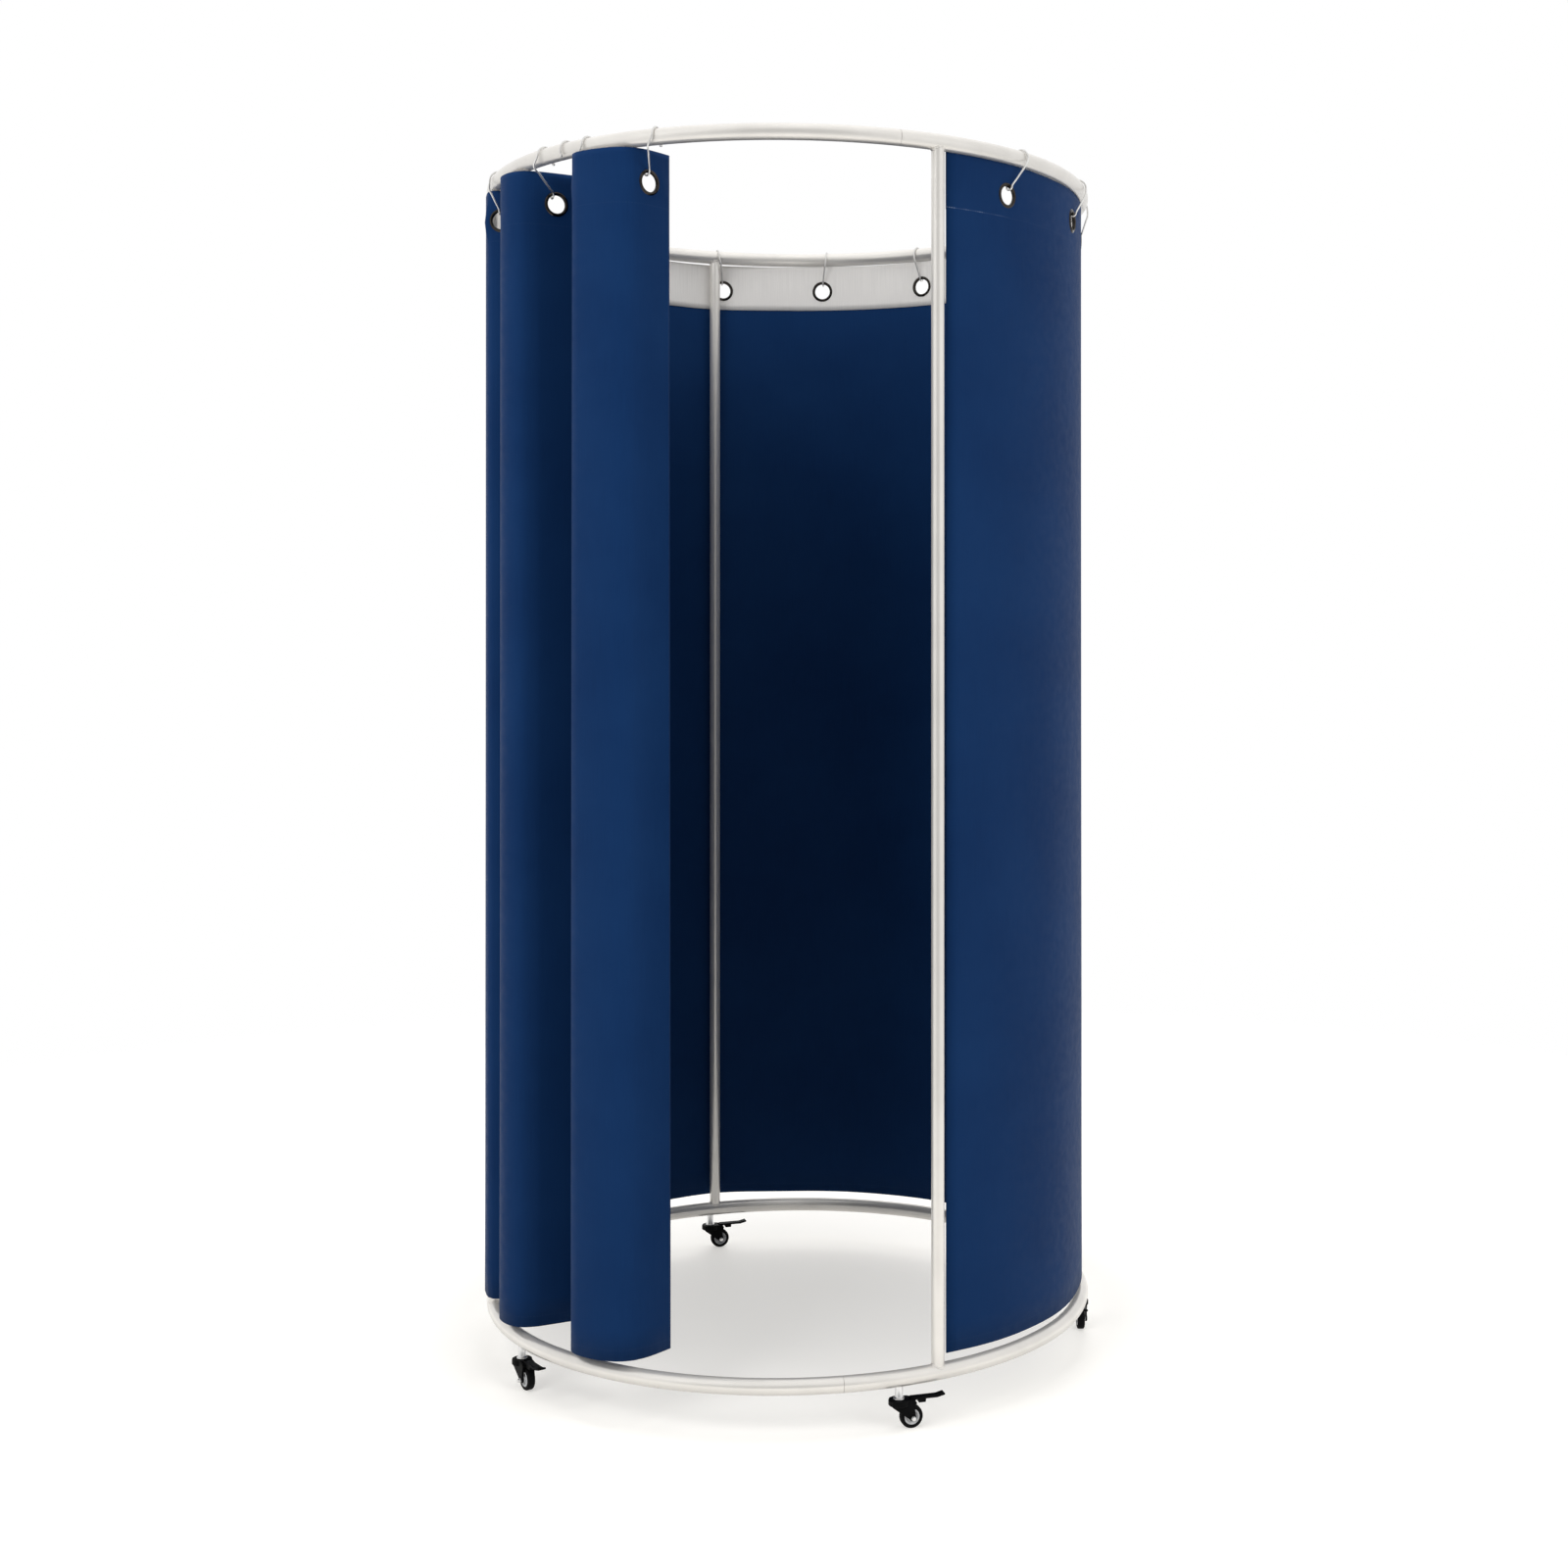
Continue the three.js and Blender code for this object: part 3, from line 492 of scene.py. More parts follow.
def woven(name, colour, shade, thread_colour, rows, thread, roughness, sheen, specular):
    """Cloth with rows of stitches: their heights, and the place where each has worn pale."""
    made, tree, shader = new_material(
        name, Sheen_Weight=sheen, Sheen_Roughness=0.4, Specular_IOR_Level=specular)
    place = tree.nodes.new("ShaderNodeUVMap").outputs[0]
    cloth = use_group(tree, WEAVE, Position=place, Thread=thread)
    marks = use_group(tree, GRAIN, Position=place, Marks=CLOTH_MARKS, Grain=CLOTH_GRAIN)
    uneven = blend_colours(tree, fit(tree, marks["Marks"], 0.35, 0.65),
                           (*colour, 1.0), (*shade, 1.0))
    paler = tuple(SLUB_PALER * part for part in colour)
    tint = blend_colours(tree, fit(tree, cloth["Slub"], 0.3, 0.7, 0.0, SLUB_MOST),
                         uneven, (*paler, 1.0))
    mask = 0.0
    for row, worn in rows:
        on = use_group(tree, STITCH, Position=place, Row=row, Worn=worn)["Mask"]
        mask = calc(tree, "MAXIMUM", mask, on)
    tint = blend_colours(tree, mask, tint, (*thread_colour, 1.0))
    tree.links.new(tint, shader.inputs["Base Color"])
    rough = fit(tree, marks["Grain"], 0.3, 0.7, *(roughness + more for more in CLOTH_ROUGHER))
    tree.links.new(rough, shader.inputs["Roughness"])
    threads = calc(tree, "ADD", calc(tree, "MULTIPLY", cloth["Height"], WEAVE_SHARE), mask)
    fine = add(tree, "ShaderNodeBump", {"Height": threads, "Strength": 0.35,
                                        "Distance": WEAVE_DEPTH})
    soft = add(tree, "ShaderNodeBump", {"Height": marks["Marks"], "Strength": 0.35,
                                        "Distance": CREASE_DEPTH, "Normal": fine.outputs[0]})
    tree.links.new(soft.outputs[0], shader.inputs["Normal"])
    return made


STEEL = metal("Satin steel", (0.78, 0.755, 0.715), roughness=0.285, marks=0.05, spread=14.0,
              metallic=0.5)
BRIGHT = metal("Bright steel", (0.70, 0.70, 0.70), roughness=0.29, marks=0.08, spread=60.0)
WIRE = metal("Hook wire", (0.80, 0.79, 0.77), roughness=0.34, marks=0.08, spread=80.0)
GROMMET = metal("Dark grommet metal", (0.045, 0.040, 0.036), roughness=0.15, marks=0.09,
                spread=90.0)
NYLON = plastic("Black nylon", (0.0035, 0.0035, 0.0040), roughness=0.36, specular=0.04)
TYRE = plastic("Tyre rubber", (0.0045, 0.0045, 0.0050), roughness=0.55, specular=0.06,
               grain=TYRE_GRAIN)
HUB = plastic("Grey hub plastic", (0.58, 0.585, 0.595), roughness=0.42, specular=0.4)


# Meshes
def new_piece(name, mesh, material, smooth=True):
    piece = bpy.data.objects.new(name, mesh)
    bpy.context.scene.collection.objects.link(piece)
    mesh.materials.append(material)
    for face in mesh.polygons:
        face.use_smooth = smooth
    return piece


def mesh_from(name, bm):
    mesh = bpy.data.meshes.new(name)
    bmesh.ops.recalc_face_normals(bm, faces=bm.faces)
    bm.to_mesh(mesh)
    bm.free()
    return mesh


def auto_smooth(piece, angle=SHARP_ANGLE):
    """Smooth, apart from edges sharper than the angle."""
    mesh = piece.data
    bm = bmesh.new()
    bm.from_mesh(mesh)
    for edge in bm.edges:
        edge.smooth = edge.calc_face_angle(0.0) < radians(angle)
    bm.to_mesh(mesh)
    bm.free()


def bevel(piece, width):
    made = piece.modifiers.new("Rounded edges", "BEVEL")
    made.width = width
    made.segments = 3
    made.limit_method = "ANGLE"
    made.angle_limit = radians(SHARP_ANGLE)


def skin_rings(bm, rings, caps=True):
    """Faces between rings of vertices, and with caps a face on each end."""
    for one, two in zip(rings, rings[1:]):
        count = len(one)
        for i in range(count):
            j = (i + 1) % count
            bm.faces.new((one[i], one[j], two[j], two[i]))
    if caps:
        bm.faces.new(rings[0])
        bm.faces.new(list(reversed(rings[-1])))


def add_lathe(bm, profile, sides, place=None):
    """A closed turned solid round Z from (radius, height) pairs off the axis."""
    at = place or Matrix.Identity(4)
    columns = []
    for i in range(sides):
        turn = 2 * pi * i / sides
        columns.append([
            bm.verts.new(at @ Vector((radius * cos(turn), radius * sin(turn), height)))
            for radius, height in profile
        ])
    skin_rings(bm, [*columns, columns[0]], caps=False)


def lathe(name, profile, material, sides=LATHE_SIDES, place=None, sharp=SHARP_ANGLE):
    bm = bmesh.new()
    add_lathe(bm, profile, sides, place)
    piece = new_piece(name, mesh_from(name, bm), material)
    auto_smooth(piece, sharp)
    return piece


def add_plate(bm, outline, low, high):
    """A plate from an outline in X and Z, between two places along Y."""
    rings = [[bm.verts.new((x, y, z)) for x, z in outline] for y in (low, high)]
    skin_rings(bm, rings)


def arc_points(centre, radius, start, stop, count):
    """Points of an arc, with its angles in degrees."""
    turns = np.linspace(radians(start), radians(stop), count)
    return [(centre[0] + radius * cos(t), centre[1] + radius * sin(t)) for t in turns]


def sweep(name, points, radius, sides, material, closed=False):
    """A round tube along points, kept from twisting."""
    points = [Vector(p) for p in points]
    count = len(points)
    bm = bmesh.new()
    rings, side = [], None
    for i, point in enumerate(points):
        if closed:
            ahead = points[(i + 1) % count] - points[i - 1]
        else:
            ahead = points[min(i + 1, count - 1)] - points[max(i - 1, 0)]
        ahead.normalize()
        if side is None:
            side = ahead.orthogonal().normalized()
        side = (side - ahead * side.dot(ahead)).normalized()
        up = ahead.cross(side)
        turns = [2 * pi * k / sides for k in range(sides)]
        rings.append([bm.verts.new(point + radius * (cos(t) * side + sin(t) * up))
                      for t in turns])
    if closed:
        # The last ring is joined to the first with the least turn between them
        first = min(range(sides), key=lambda k: (rings[0][k].co - rings[-1][0].co).length)
        rings.append(rings[0][first:] + rings[0][:first])
    skin_rings(bm, rings, caps=not closed)
    return new_piece(name, mesh_from(name, bm), material)


# Plan
def plan_point(bearing, radius, height=0.0):
    turn = radians(bearing)
    return Vector((radius * sin(turn), -radius * cos(turn), height))


def arc_degrees(length):
    return length / RING_RADIUS * 180 / pi


# Rings and posts
def ring_half(node, height, joint):
    half = arc_degrees(JOINT_GAP / 2)
    bearings = np.linspace(joint + half, joint + 180 - half, round(180 / RING_STEP) + 1)
    points = [plan_point(b, RING_RADIUS, height) for b in bearings]
    piece = sweep(f"{node}_tube", points, RING_TUBE, RING_SIDES, STEEL)
    auto_smooth(piece)
    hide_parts(node)
    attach(piece, "frame")


def post(number):
    bearing = FIRST_POST + POST_STEP * (number - 1)
    foot = plan_point(bearing, RING_RADIUS)
    low, high = BOTTOM_RING_Z + POST_END_DEPTH, TOP_RING_Z - POST_END_DEPTH
    bore = POST_RADIUS - POST_WALL
    profile = ((POST_RADIUS, low), (POST_RADIUS, high), (bore, high), (bore, low))
    piece = lathe(f"post_{number}_tube", profile, STEEL, POST_SIDES,
                  Matrix.Translation(foot))
    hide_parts(f"post_{number}")
    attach(piece, "frame")
    for ring, height, side in (("bottom", BOTTOM_RING_Z, 1), ("top", TOP_RING_Z, -1)):
        weld(f"post_{number}_{ring}_weld", bearing, height, side)


def weld(name, bearing, height, side):
    """A bead where a post meets a ring, along the line where the two tubes cross."""
    outward = plan_point(bearing, 1.0)
    along = Vector((-outward.y, outward.x, 0))
    points = []
    for i in range(WELD_POINTS):
        turn = 2 * pi * i / WELD_POINTS
        out = POST_RADIUS * cos(turn)
        foot = plan_point(bearing, RING_RADIUS) + out * outward
        foot += POST_RADIUS * sin(turn) * along
        off = hypot(foot.x, foot.y) - RING_RADIUS
        foot.z = height + side * sqrt(RING_TUBE ** 2 - min(abs(off), RING_TUBE) ** 2)
        points.append(foot)
    piece = sweep(name, points, WELD_RADIUS, WELD_SIDES, STEEL, closed=True)
    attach(piece, "frame")


# Curtain route
def post_bulge(bearing):
    posts = [FIRST_POST + POST_STEP * i - 360 for i in range(1, POST_COUNT)]
    return max(np.exp(-(((bearing - p) / BULGE_ANGLE) ** 2)) for p in posts)


def route_points():
    gather = [plan_point(b, RING_RADIUS * share).xy for b, share in GATHER_SHARES]
    start = GATHER_SHARES[-1][0]
    end = FIRST_POST + arc_degrees(CURTAIN_END_GAP) - 360
    steps = round((start - end) / WRAP_STEP)
    wrap = []
    for i in range(steps):
        bearing = start - (start - end) * (i + 1) / steps
        wrap.append(plan_point(bearing, RING_RADIUS + POST_BULGE * post_bulge(bearing)).xy)
    return np.array(gather + wrap), (start - end) / steps


def spline(points, places):
    """Centripetal Catmull-Rom curve through points, at places counted in them."""
    before = 2 * points[0] - points[1]
    after = 2 * points[-1] - points[-2]
    full = np.vstack([before, points, after])
    index = np.clip(np.floor(places).astype(int), 0, len(points) - 2)
    t = (places - index)[:, None]
    p0, p1, p2, p3 = (full[index + k] for k in range(4))
    d0, d1, d2 = (
        np.sqrt(np.linalg.norm(b - a, axis=1, keepdims=True))
        for a, b in ((p0, p1), (p1, p2), (p2, p3))
    )
    m1 = d1 * ((p1 - p0) / d0 - (p2 - p0) / (d0 + d1) + (p2 - p1) / d1)
    m2 = d1 * ((p2 - p1) / d1 - (p3 - p1) / (d1 + d2) + (p3 - p2) / d2)
    return (
        (2 * t ** 3 - 3 * t ** 2 + 1) * p1 + (t ** 3 - 2 * t ** 2 + t) * m1
        + (3 * t ** 2 - 2 * t ** 3) * p2 + (t ** 3 - t ** 2) * m2
    )


ROUTE, WRAP_PACE = route_points()
GATHER_LAST = len(GATHER_SHARES) - 1
ROUTE_LAST = len(ROUTE) - 1
PLACES = np.linspace(0, ROUTE_LAST, ROUTE_LAST * SAMPLES_PER_PLACE + 1)
LINE = spline(ROUTE, PLACES)
LENGTHS = np.concatenate([[0], np.cumsum(np.linalg.norm(np.diff(LINE, axis=0), axis=1))])
HEADINGS = np.gradient(LINE, LENGTHS, axis=0)
HEADINGS /= np.linalg.norm(HEADINGS, axis=1, keepdims=True)
ACROSS = np.stack([HEADINGS[:, 1], -HEADINGS[:, 0]], axis=1)

# The cloth: the stitches under its header band have worn pale at its last edge
BAND_STITCHES = CLOTH_TOP - BAND_HEIGHT + BAND_STITCH_LIFT
CLOTH = woven(
    "Navy cloth", (0.0070, 0.0335, 0.113), (0.0053, 0.0272, 0.0965), (0.13, 0.18, 0.30),
    rows=((BAND_STITCHES, LENGTHS[-1]), (CLOTH_BOTTOM + HEM_STITCH_LIFT, UNWORN)),
    thread=THREAD, roughness=0.6, sheen=0.02, specular=0.05,
)
LINING = woven(
    "Pale lining", (0.82, 0.80, 0.77), (0.76, 0.74, 0.715), (0.86, 0.85, 0.83),
    rows=((BAND_STITCHES, UNWORN), (CLOTH_TOP - TOP_STITCH_DROP, UNWORN)),
    thread=LINING_THREAD, roughness=0.75, sheen=0.03, specular=0.2,
)


def length_at(place):
    return float(np.interp(place, PLACES, LENGTHS))


def on_route(length, table):
    return np.stack([np.interp(length, LENGTHS, table[:, k]) for k in range(2)], axis=-1)


class Grommet:
    """A grommet with its hook: where they are, and the body that they ride on."""

    def __init__(self, number, fold, place, hook_bearing, ring_side, cloth_side):
        self.number = number
        self.body = f"fold_{fold}" if fold else "frame"
        self.length = length_at(place)
        self.hook_bearing = hook_bearing
        self.ring_side = ring_side
        self.cloth_side = cloth_side
        self.centre = on_route(self.length, LINE)
        self.heading = on_route(self.length, HEADINGS)
        self.heading /= np.linalg.norm(self.heading)
        self.across = np.array([self.heading[1], -self.heading[0]])


def all_grommets():
    rows = list(GATHER_GROMMETS)
    for bearing, hook_bearing, side in WRAP_GROMMETS:
        place = GATHER_LAST + (GATHER_SHARES[-1][0] - bearing) / WRAP_PACE
        rows.append((0, place, hook_bearing, side, side))
    return [Grommet(i + 1, *row) for i, row in enumerate(rows)]


GROMMETS = all_grommets()


# Cloth
def ease(value, low, high):
    t = np.clip((value - low) / (high - low), 0, 1)
    return t * t * (3 - 2 * t)


def top_sag(length):
    """How far the top edge sags between hooks."""
    marks = np.array([g.length for g in GROMMETS])
    after = np.clip(np.searchsorted(marks, length), 1, len(marks) - 1)
    span = marks[after] - marks[after - 1]
    t = np.clip((length - marks[after - 1]) / span, 0, 1)
    return TOP_SAG * np.sin(pi * t) ** 2


def cloth_surface(length, height, inset):
    """Points of the hung cloth, from places on the flat cloth."""
    drop = np.clip((GROMMET_Z - height) / (GROMMET_Z - CLOTH_BOTTOM), 0, 1)
    long_wave = 0.5 + 0.5 * np.sin(2 * pi * length / SWAY_LONG_PITCH + SWAY_LONG_PHASE)
    short_turn = 2 * pi * length / SWAY_SHORT_PITCH + SWAY_SHORT_TWIST * drop
    short_wave = 0.5 + 0.5 * np.sin(short_turn)
    sway = drop * (SWAY_LONG * long_wave + SWAY_SHORT * short_wave)
    across = on_route(length, ACROSS)
    place = on_route(length, LINE) + across * (inset - sway)[:, None]
    for g in GROMMETS:
        off = length - g.length
        reach = np.hypot(off, height - GROMMET_Z)
        weight = (1 - ease(reach, FLAT_RADIUS, FLAT_FADE))[:, None]
        flat = g.centre + off[:, None] * g.heading + inset * g.across
        place = place * (1 - weight) + flat * weight
    level = height - top_sag(length) * ease(height, GROMMET_Z + SAG_START, CLOTH_TOP)
    return np.column_stack([place, level])


def grid_lines(base, marks, reach):
    """base without the lines near each mark, and with the lines of the mark's patch."""
    steps = np.linspace(-reach, reach, PATCH_STEPS + 1)
    kept = [v for v in base if all(abs(v - m) > reach + ROW_CLEARANCE for m in marks)]
    return sorted(kept + [m + step for m in marks for step in steps])


def cloth_columns(start, stop, marks):
    """Lengths along the cloth where its columns of vertices stand."""
    close = np.arange(0, GATHER_LAST, 1 / GATHER_COLUMNS_PER_PLACE)
    wide = np.arange(GATHER_LAST, ROUTE_LAST, 1 / WRAP_COLUMNS_PER_PLACE)
    lengths = np.interp(np.concatenate([close, wide]), PLACES, LENGTHS)
    inner = lengths[(lengths > start + COLUMN_CLEARANCE)
                    & (lengths < stop - COLUMN_CLEARANCE)]
    return grid_lines([start, *inner, stop], marks, GROMMET_PATCH)


def cloth_mesh(name, start, stop, low, high, inset):
    """A flat pattern with a hole for each grommet, hung on the route."""
    held = [g for g in GROMMETS if start < g.length < stop]
    columns = cloth_columns(start, stop, [g.length for g in held])
    count = max(2, round((high - low) / ROW_HEIGHT))
    base = [*np.linspace(low, high, count + 1), high - TOP_ROW_DROP]
    rows = grid_lines(base, [GROMMET_Z] if held else [], GROMMET_PATCH)
    flat, index = [], {}
    for i, s in enumerate(columns):
        for j, z in enumerate(rows):
            index[i, j] = len(flat)
            flat.append((s, z))
    faces = []
    for i in range(len(columns) - 1):
        for j in range(len(rows) - 1):
            s = (columns[i] + columns[i + 1]) / 2
            z = (rows[j] + rows[j + 1]) / 2
            if any(abs(s - g.length) < GROMMET_PATCH and abs(z - GROMMET_Z) < GROMMET_PATCH
                   for g in held):
                continue
            faces.append((index[i, j], index[i + 1, j], index[i + 1, j + 1],
                          index[i, j + 1]))
    for g in held:
        faces += hole_faces(g, columns, rows, index, flat)
    flat = np.array(flat)
    points = cloth_surface(flat[:, 0], flat[:, 1], inset)
    mesh = bpy.data.meshes.new(name)
    mesh.from_pydata(points.tolist(), [], faces)
    used = bmesh.new()
    used.from_mesh(mesh)
    layer = used.loops.layers.uv.new("Cloth")
    for face in used.faces:
        for loop in face.loops:
            loop[layer].uv = flat[loop.vert.index]
    bmesh.ops.delete(used, geom=[v for v in used.verts if not v.link_faces],
                     context="VERTS")
    used.to_mesh(mesh)
    used.free()
    return mesh


def hole_faces(g, columns, rows, index, flat):
    """Faces from the square patch round a grommet to the round hole in it."""
    first = int(np.argmin(np.abs(np.array(columns) - (g.length - GROMMET_PATCH))))
    low = int(np.argmin(np.abs(np.array(rows) - (GROMMET_Z - GROMMET_PATCH))))
    n = PATCH_STEPS
    border = ([(first + k, low) for k in range(n)]
              + [(first + n, low + k) for k in range(n)]
              + [(first + n - k, low + n) for k in range(n)]
              + [(first, low + n - k) for k in range(n)])
    loops = [[index[key] for key in border]]
    for radius in (GROMMET_PATCH * PATCH_RING_SHARE, CLOTH_HOLE):
        loop = []
        for key in border:
            s, z = flat[index[key]]
            turn = atan2(z - GROMMET_Z, s - g.length)
            loop.append(len(flat))
            flat.append((g.length + radius * cos(turn), GROMMET_Z + radius * sin(turn)))
        loops.append(loop)
    faces = []
    for one, two in zip(loops, loops[1:]):
        for k in range(len(one)):
            j = (k + 1) % len(one)
            faces.append((one[k], one[j], two[j], two[k]))
    return faces


def cloth_piece(name, node, start, stop, low, inset, thickness, material):
    mesh = cloth_mesh(name, start, stop, low, CLOTH_TOP, inset)
    piece = new_piece(name, mesh, material)
    made = piece.modifiers.new("Thickness", "SOLIDIFY")
    made.thickness = thickness
    made.offset = 0.0
    made.use_even_offset = True
    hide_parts(node)
    return piece


def hold(piece, fold):
    """Joins the length of cloth on the frame to the frame; any other length only has its
    transform applied to its mesh.
    """
    if fold == 0:
        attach(piece, "frame")
        return
    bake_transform(piece)


def curtain(fold):
    """One length of the curtain with its header band; fold 0 is the length on the frame."""
    label = f"fold_{fold}" if fold else "wrap"
    first = SPLIT_PLACES[fold - 1] if fold else SPLIT_PLACES[-1]
    last = ROUTE_LAST if fold == 0 else (*SPLIT_PLACES, ROUTE_LAST)[fold]
    start, stop = length_at(first), length_at(last)
    cloth = cloth_piece(f"curtain_{label}_cloth", f"curtain_{label}", start, stop,
                        CLOTH_BOTTOM, 0.0, CLOTH_THICKNESS, CLOTH)
    band = cloth_piece(f"header_band_{label}_cloth", f"header_band_{label}", start, stop,
                       CLOTH_TOP - BAND_HEIGHT, BAND_INSET, BAND_THICKNESS, LINING)
    hold(cloth, fold)
    hold(band, fold)


# Grommets and hooks
def grommet(g):
    """A two-part ring pressed through the cloth: rolled rim outside, washer inside."""
    inside, outside = BAND_INSET + BAND_THICKNESS / 2, CLOTH_THICKNESS / 2
    profile = [
        *((GROMMET_HOLE + step, outside + height) for step, height in GROMMET_RIM),
        *((GROMMET_HOLE + step, -inside - height) for step, height in GROMMET_WASHER),
    ]
    outward = Vector((-g.across[0], -g.across[1], 0))
    turn = outward.to_track_quat("Z", "Y").to_matrix().to_4x4()
    place = Matrix.Translation((*g.centre, GROMMET_Z)) @ turn
    piece = lathe(f"grommet_{g.number:02d}", profile, GROMMET, GROMMET_SIDES, place,
                  GROMMET_SHARP_ANGLE)
    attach(piece, g.body)
    return piece


def hook_points(g):
    loop_radius = RING_TUBE + HOOK_SIDE_CLEARANCE + WIRE_RADIUS
    loop_height = TOP_RING_Z + RING_TUBE + SEAT_GAP + WIRE_RADIUS - loop_radius
    loop = []
    for angle in range(LOOP_START, -1, -HOOK_STEP):
        out = g.ring_side * loop_radius * cos(radians(angle))
        up = loop_radius * sin(radians(angle))
        loop.append(plan_point(g.hook_bearing, RING_RADIUS + out, loop_height + up))
    outward = Vector((*(-g.cloth_side * g.across), 0))
    along = Vector((*g.heading, 0))
    centre = Vector((*g.centre, GROMMET_Z))
    pull = loop[-1] - centre
    lean = atan2(pull.dot(along), pull.z)
    rest = GROMMET_HOLE - HOOK_LIFT
    centre += rest * sin(lean) * along
    centre.z += rest * cos(lean) + HOOK_BEND
    bend = []
    for angle in range(0, 181, HOOK_STEP):
        point = centre + HOOK_BEND * cos(radians(angle)) * outward
        point.z = centre.z - HOOK_BEND * sin(radians(angle))
        bend.append(point)
    knee_height = TOP_RING_Z - RING_TUBE - 2 * WIRE_RADIUS
    knee = loop[-1].lerp(bend[0], (loop[-1].z - knee_height) / (loop[-1].z - bend[0].z))
    knee.z = 0
    knee.length = RING_RADIUS + g.ring_side * loop_radius
    knee.z = knee_height
    tip = bend[-1] + Vector((0, 0, HOOK_TIP))
    return loop, knee, bend, tip


def hook(g):
    """A wire hook: over the ring, down its shank, through the grommet and up to its tip."""
    loop, knee, bend, tip = hook_points(g)
    shank = [knee.lerp(bend[0], t) for t in SHANK_SHARES]
    rise = [bend[-1].lerp(tip, t) for t in RISE_SHARES]
    route = np.array([*loop, knee, *shank, *bend, *rise])
    places = np.linspace(0, len(route) - 1, (len(route) - 1) * HOOK_SMOOTHNESS + 1)
    points = spline(route, places)
    piece = sweep(f"hook_{g.number:02d}_wire", points, WIRE_RADIUS, WIRE_SIDES, WIRE)
    bm = bmesh.new()
    bm.from_mesh(piece.data)
    for end in (points[-1], points[0]):
        bmesh.ops.create_uvsphere(bm, u_segments=16, v_segments=10, radius=HOOK_BALL,
                                  matrix=Matrix.Translation(end))
    bm.to_mesh(piece.data)
    bm.free()
    for face in piece.data.polygons:
        face.use_smooth = True
    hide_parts(f"hook_{g.number:02d}")
    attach(piece, g.body)
    return piece


# Casters: made with the stem on the Z axis and the wheel towards +X
def rounded_tyre():
    inner, half = HUB_RADIUS, TYRE_WIDTH / 2
    rise, step = TYRE_BEAD
    side, high = half - TYRE_SHOULDER, WHEEL_RADIUS - TYRE_SHOULDER
    tread = (arc_points((side, high), TYRE_SHOULDER, 0, 90, 7)
             + arc_points((-side, high), TYRE_SHOULDER, 90, 180, 7))
    return [(inner, step - half), (inner, half - step), (inner + rise, half),
            *((radius, across) for across, radius in tread), (inner + rise, -half)]


def hub_profile():
    """A raised rim, a dished web and a boss that stands out to the fork."""
    rim, half = TYRE_WIDTH / 2 - HUB_INSET, HUB_WIDTH / 2
    side = [
        (AXLE_RADIUS + RUNNING_GAP, half), (HUB_BOSS - HUB_CHAMFER, half),
        (HUB_BOSS, half - HUB_CHAMFER), *((radius, rim - depth) for radius, depth in HUB_FACE),
    ]
    return side + [(radius, -height) for radius, height in reversed(side)]


def axle_profile():
    """A domed head on one side, and the round end of the bolt past its nut on the other."""
    seat = FORK_OUTSIDE + RUNNING_GAP
    end = seat + NUT_LENGTH + THREAD_LENGTH
    return [
        *((radius, -seat - height) for radius, height in AXLE_DOME),
        (AXLE_END_RADIUS, -seat), (AXLE_RADIUS, -seat), (AXLE_RADIUS, end - THREAD_CHAMFER),
        (AXLE_RADIUS - THREAD_CHAMFER, end), (CORE, end),
    ]


def add_nut(bm, place):
    """The hexagon nut on the axle, with its corners turned off."""
    low = FORK_OUTSIDE + RUNNING_GAP
    ends = (low, low, low + NUT_LENGTH, low + NUT_LENGTH)
    outline = arc_points((0, 0), AXLE_END_RADIUS, 0, 300, 6)
    rings = []
    for end, (share, step) in zip(ends, NUT_CORNERS):
        rings.append([bm.verts.new(place @ Vector((x * share, y * share, end + step)))
                      for x, y in outline])
    skin_rings(bm, rings)


def stem_profile():
    """The riveted head under the fork, the race on it, and the neck up into the ring."""
    head, race = FORK_UNDERSIDE - RUNNING_GAP, FORK_TOP + RUNNING_GAP
    low, top = head - STEM_HEAD_HEIGHT, BOTTOM_RING_Z - RING_TUBE + STEM_SEAT
    return [
        (CORE, low), (STEM_HEAD - STEM_HEAD_CHAMFER, low), (STEM_HEAD, low + STEM_HEAD_CHAMFER),
        (STEM_HEAD, head), (STEM_SHANK, head), (STEM_SHANK, race),
        *((RACE_RADIUS - inset, race + rise) for inset, rise in RACE_FOOT),
        *((RACE_RADIUS - inset, RACE_TOP - drop) for inset, drop in RACE_SHOULDER),
        *((NECK_RADIUS + flare, RACE_TOP + rise) for flare, rise in NECK_FOOT),
        (NECK_RADIUS, top), (CORE, top),
    ]


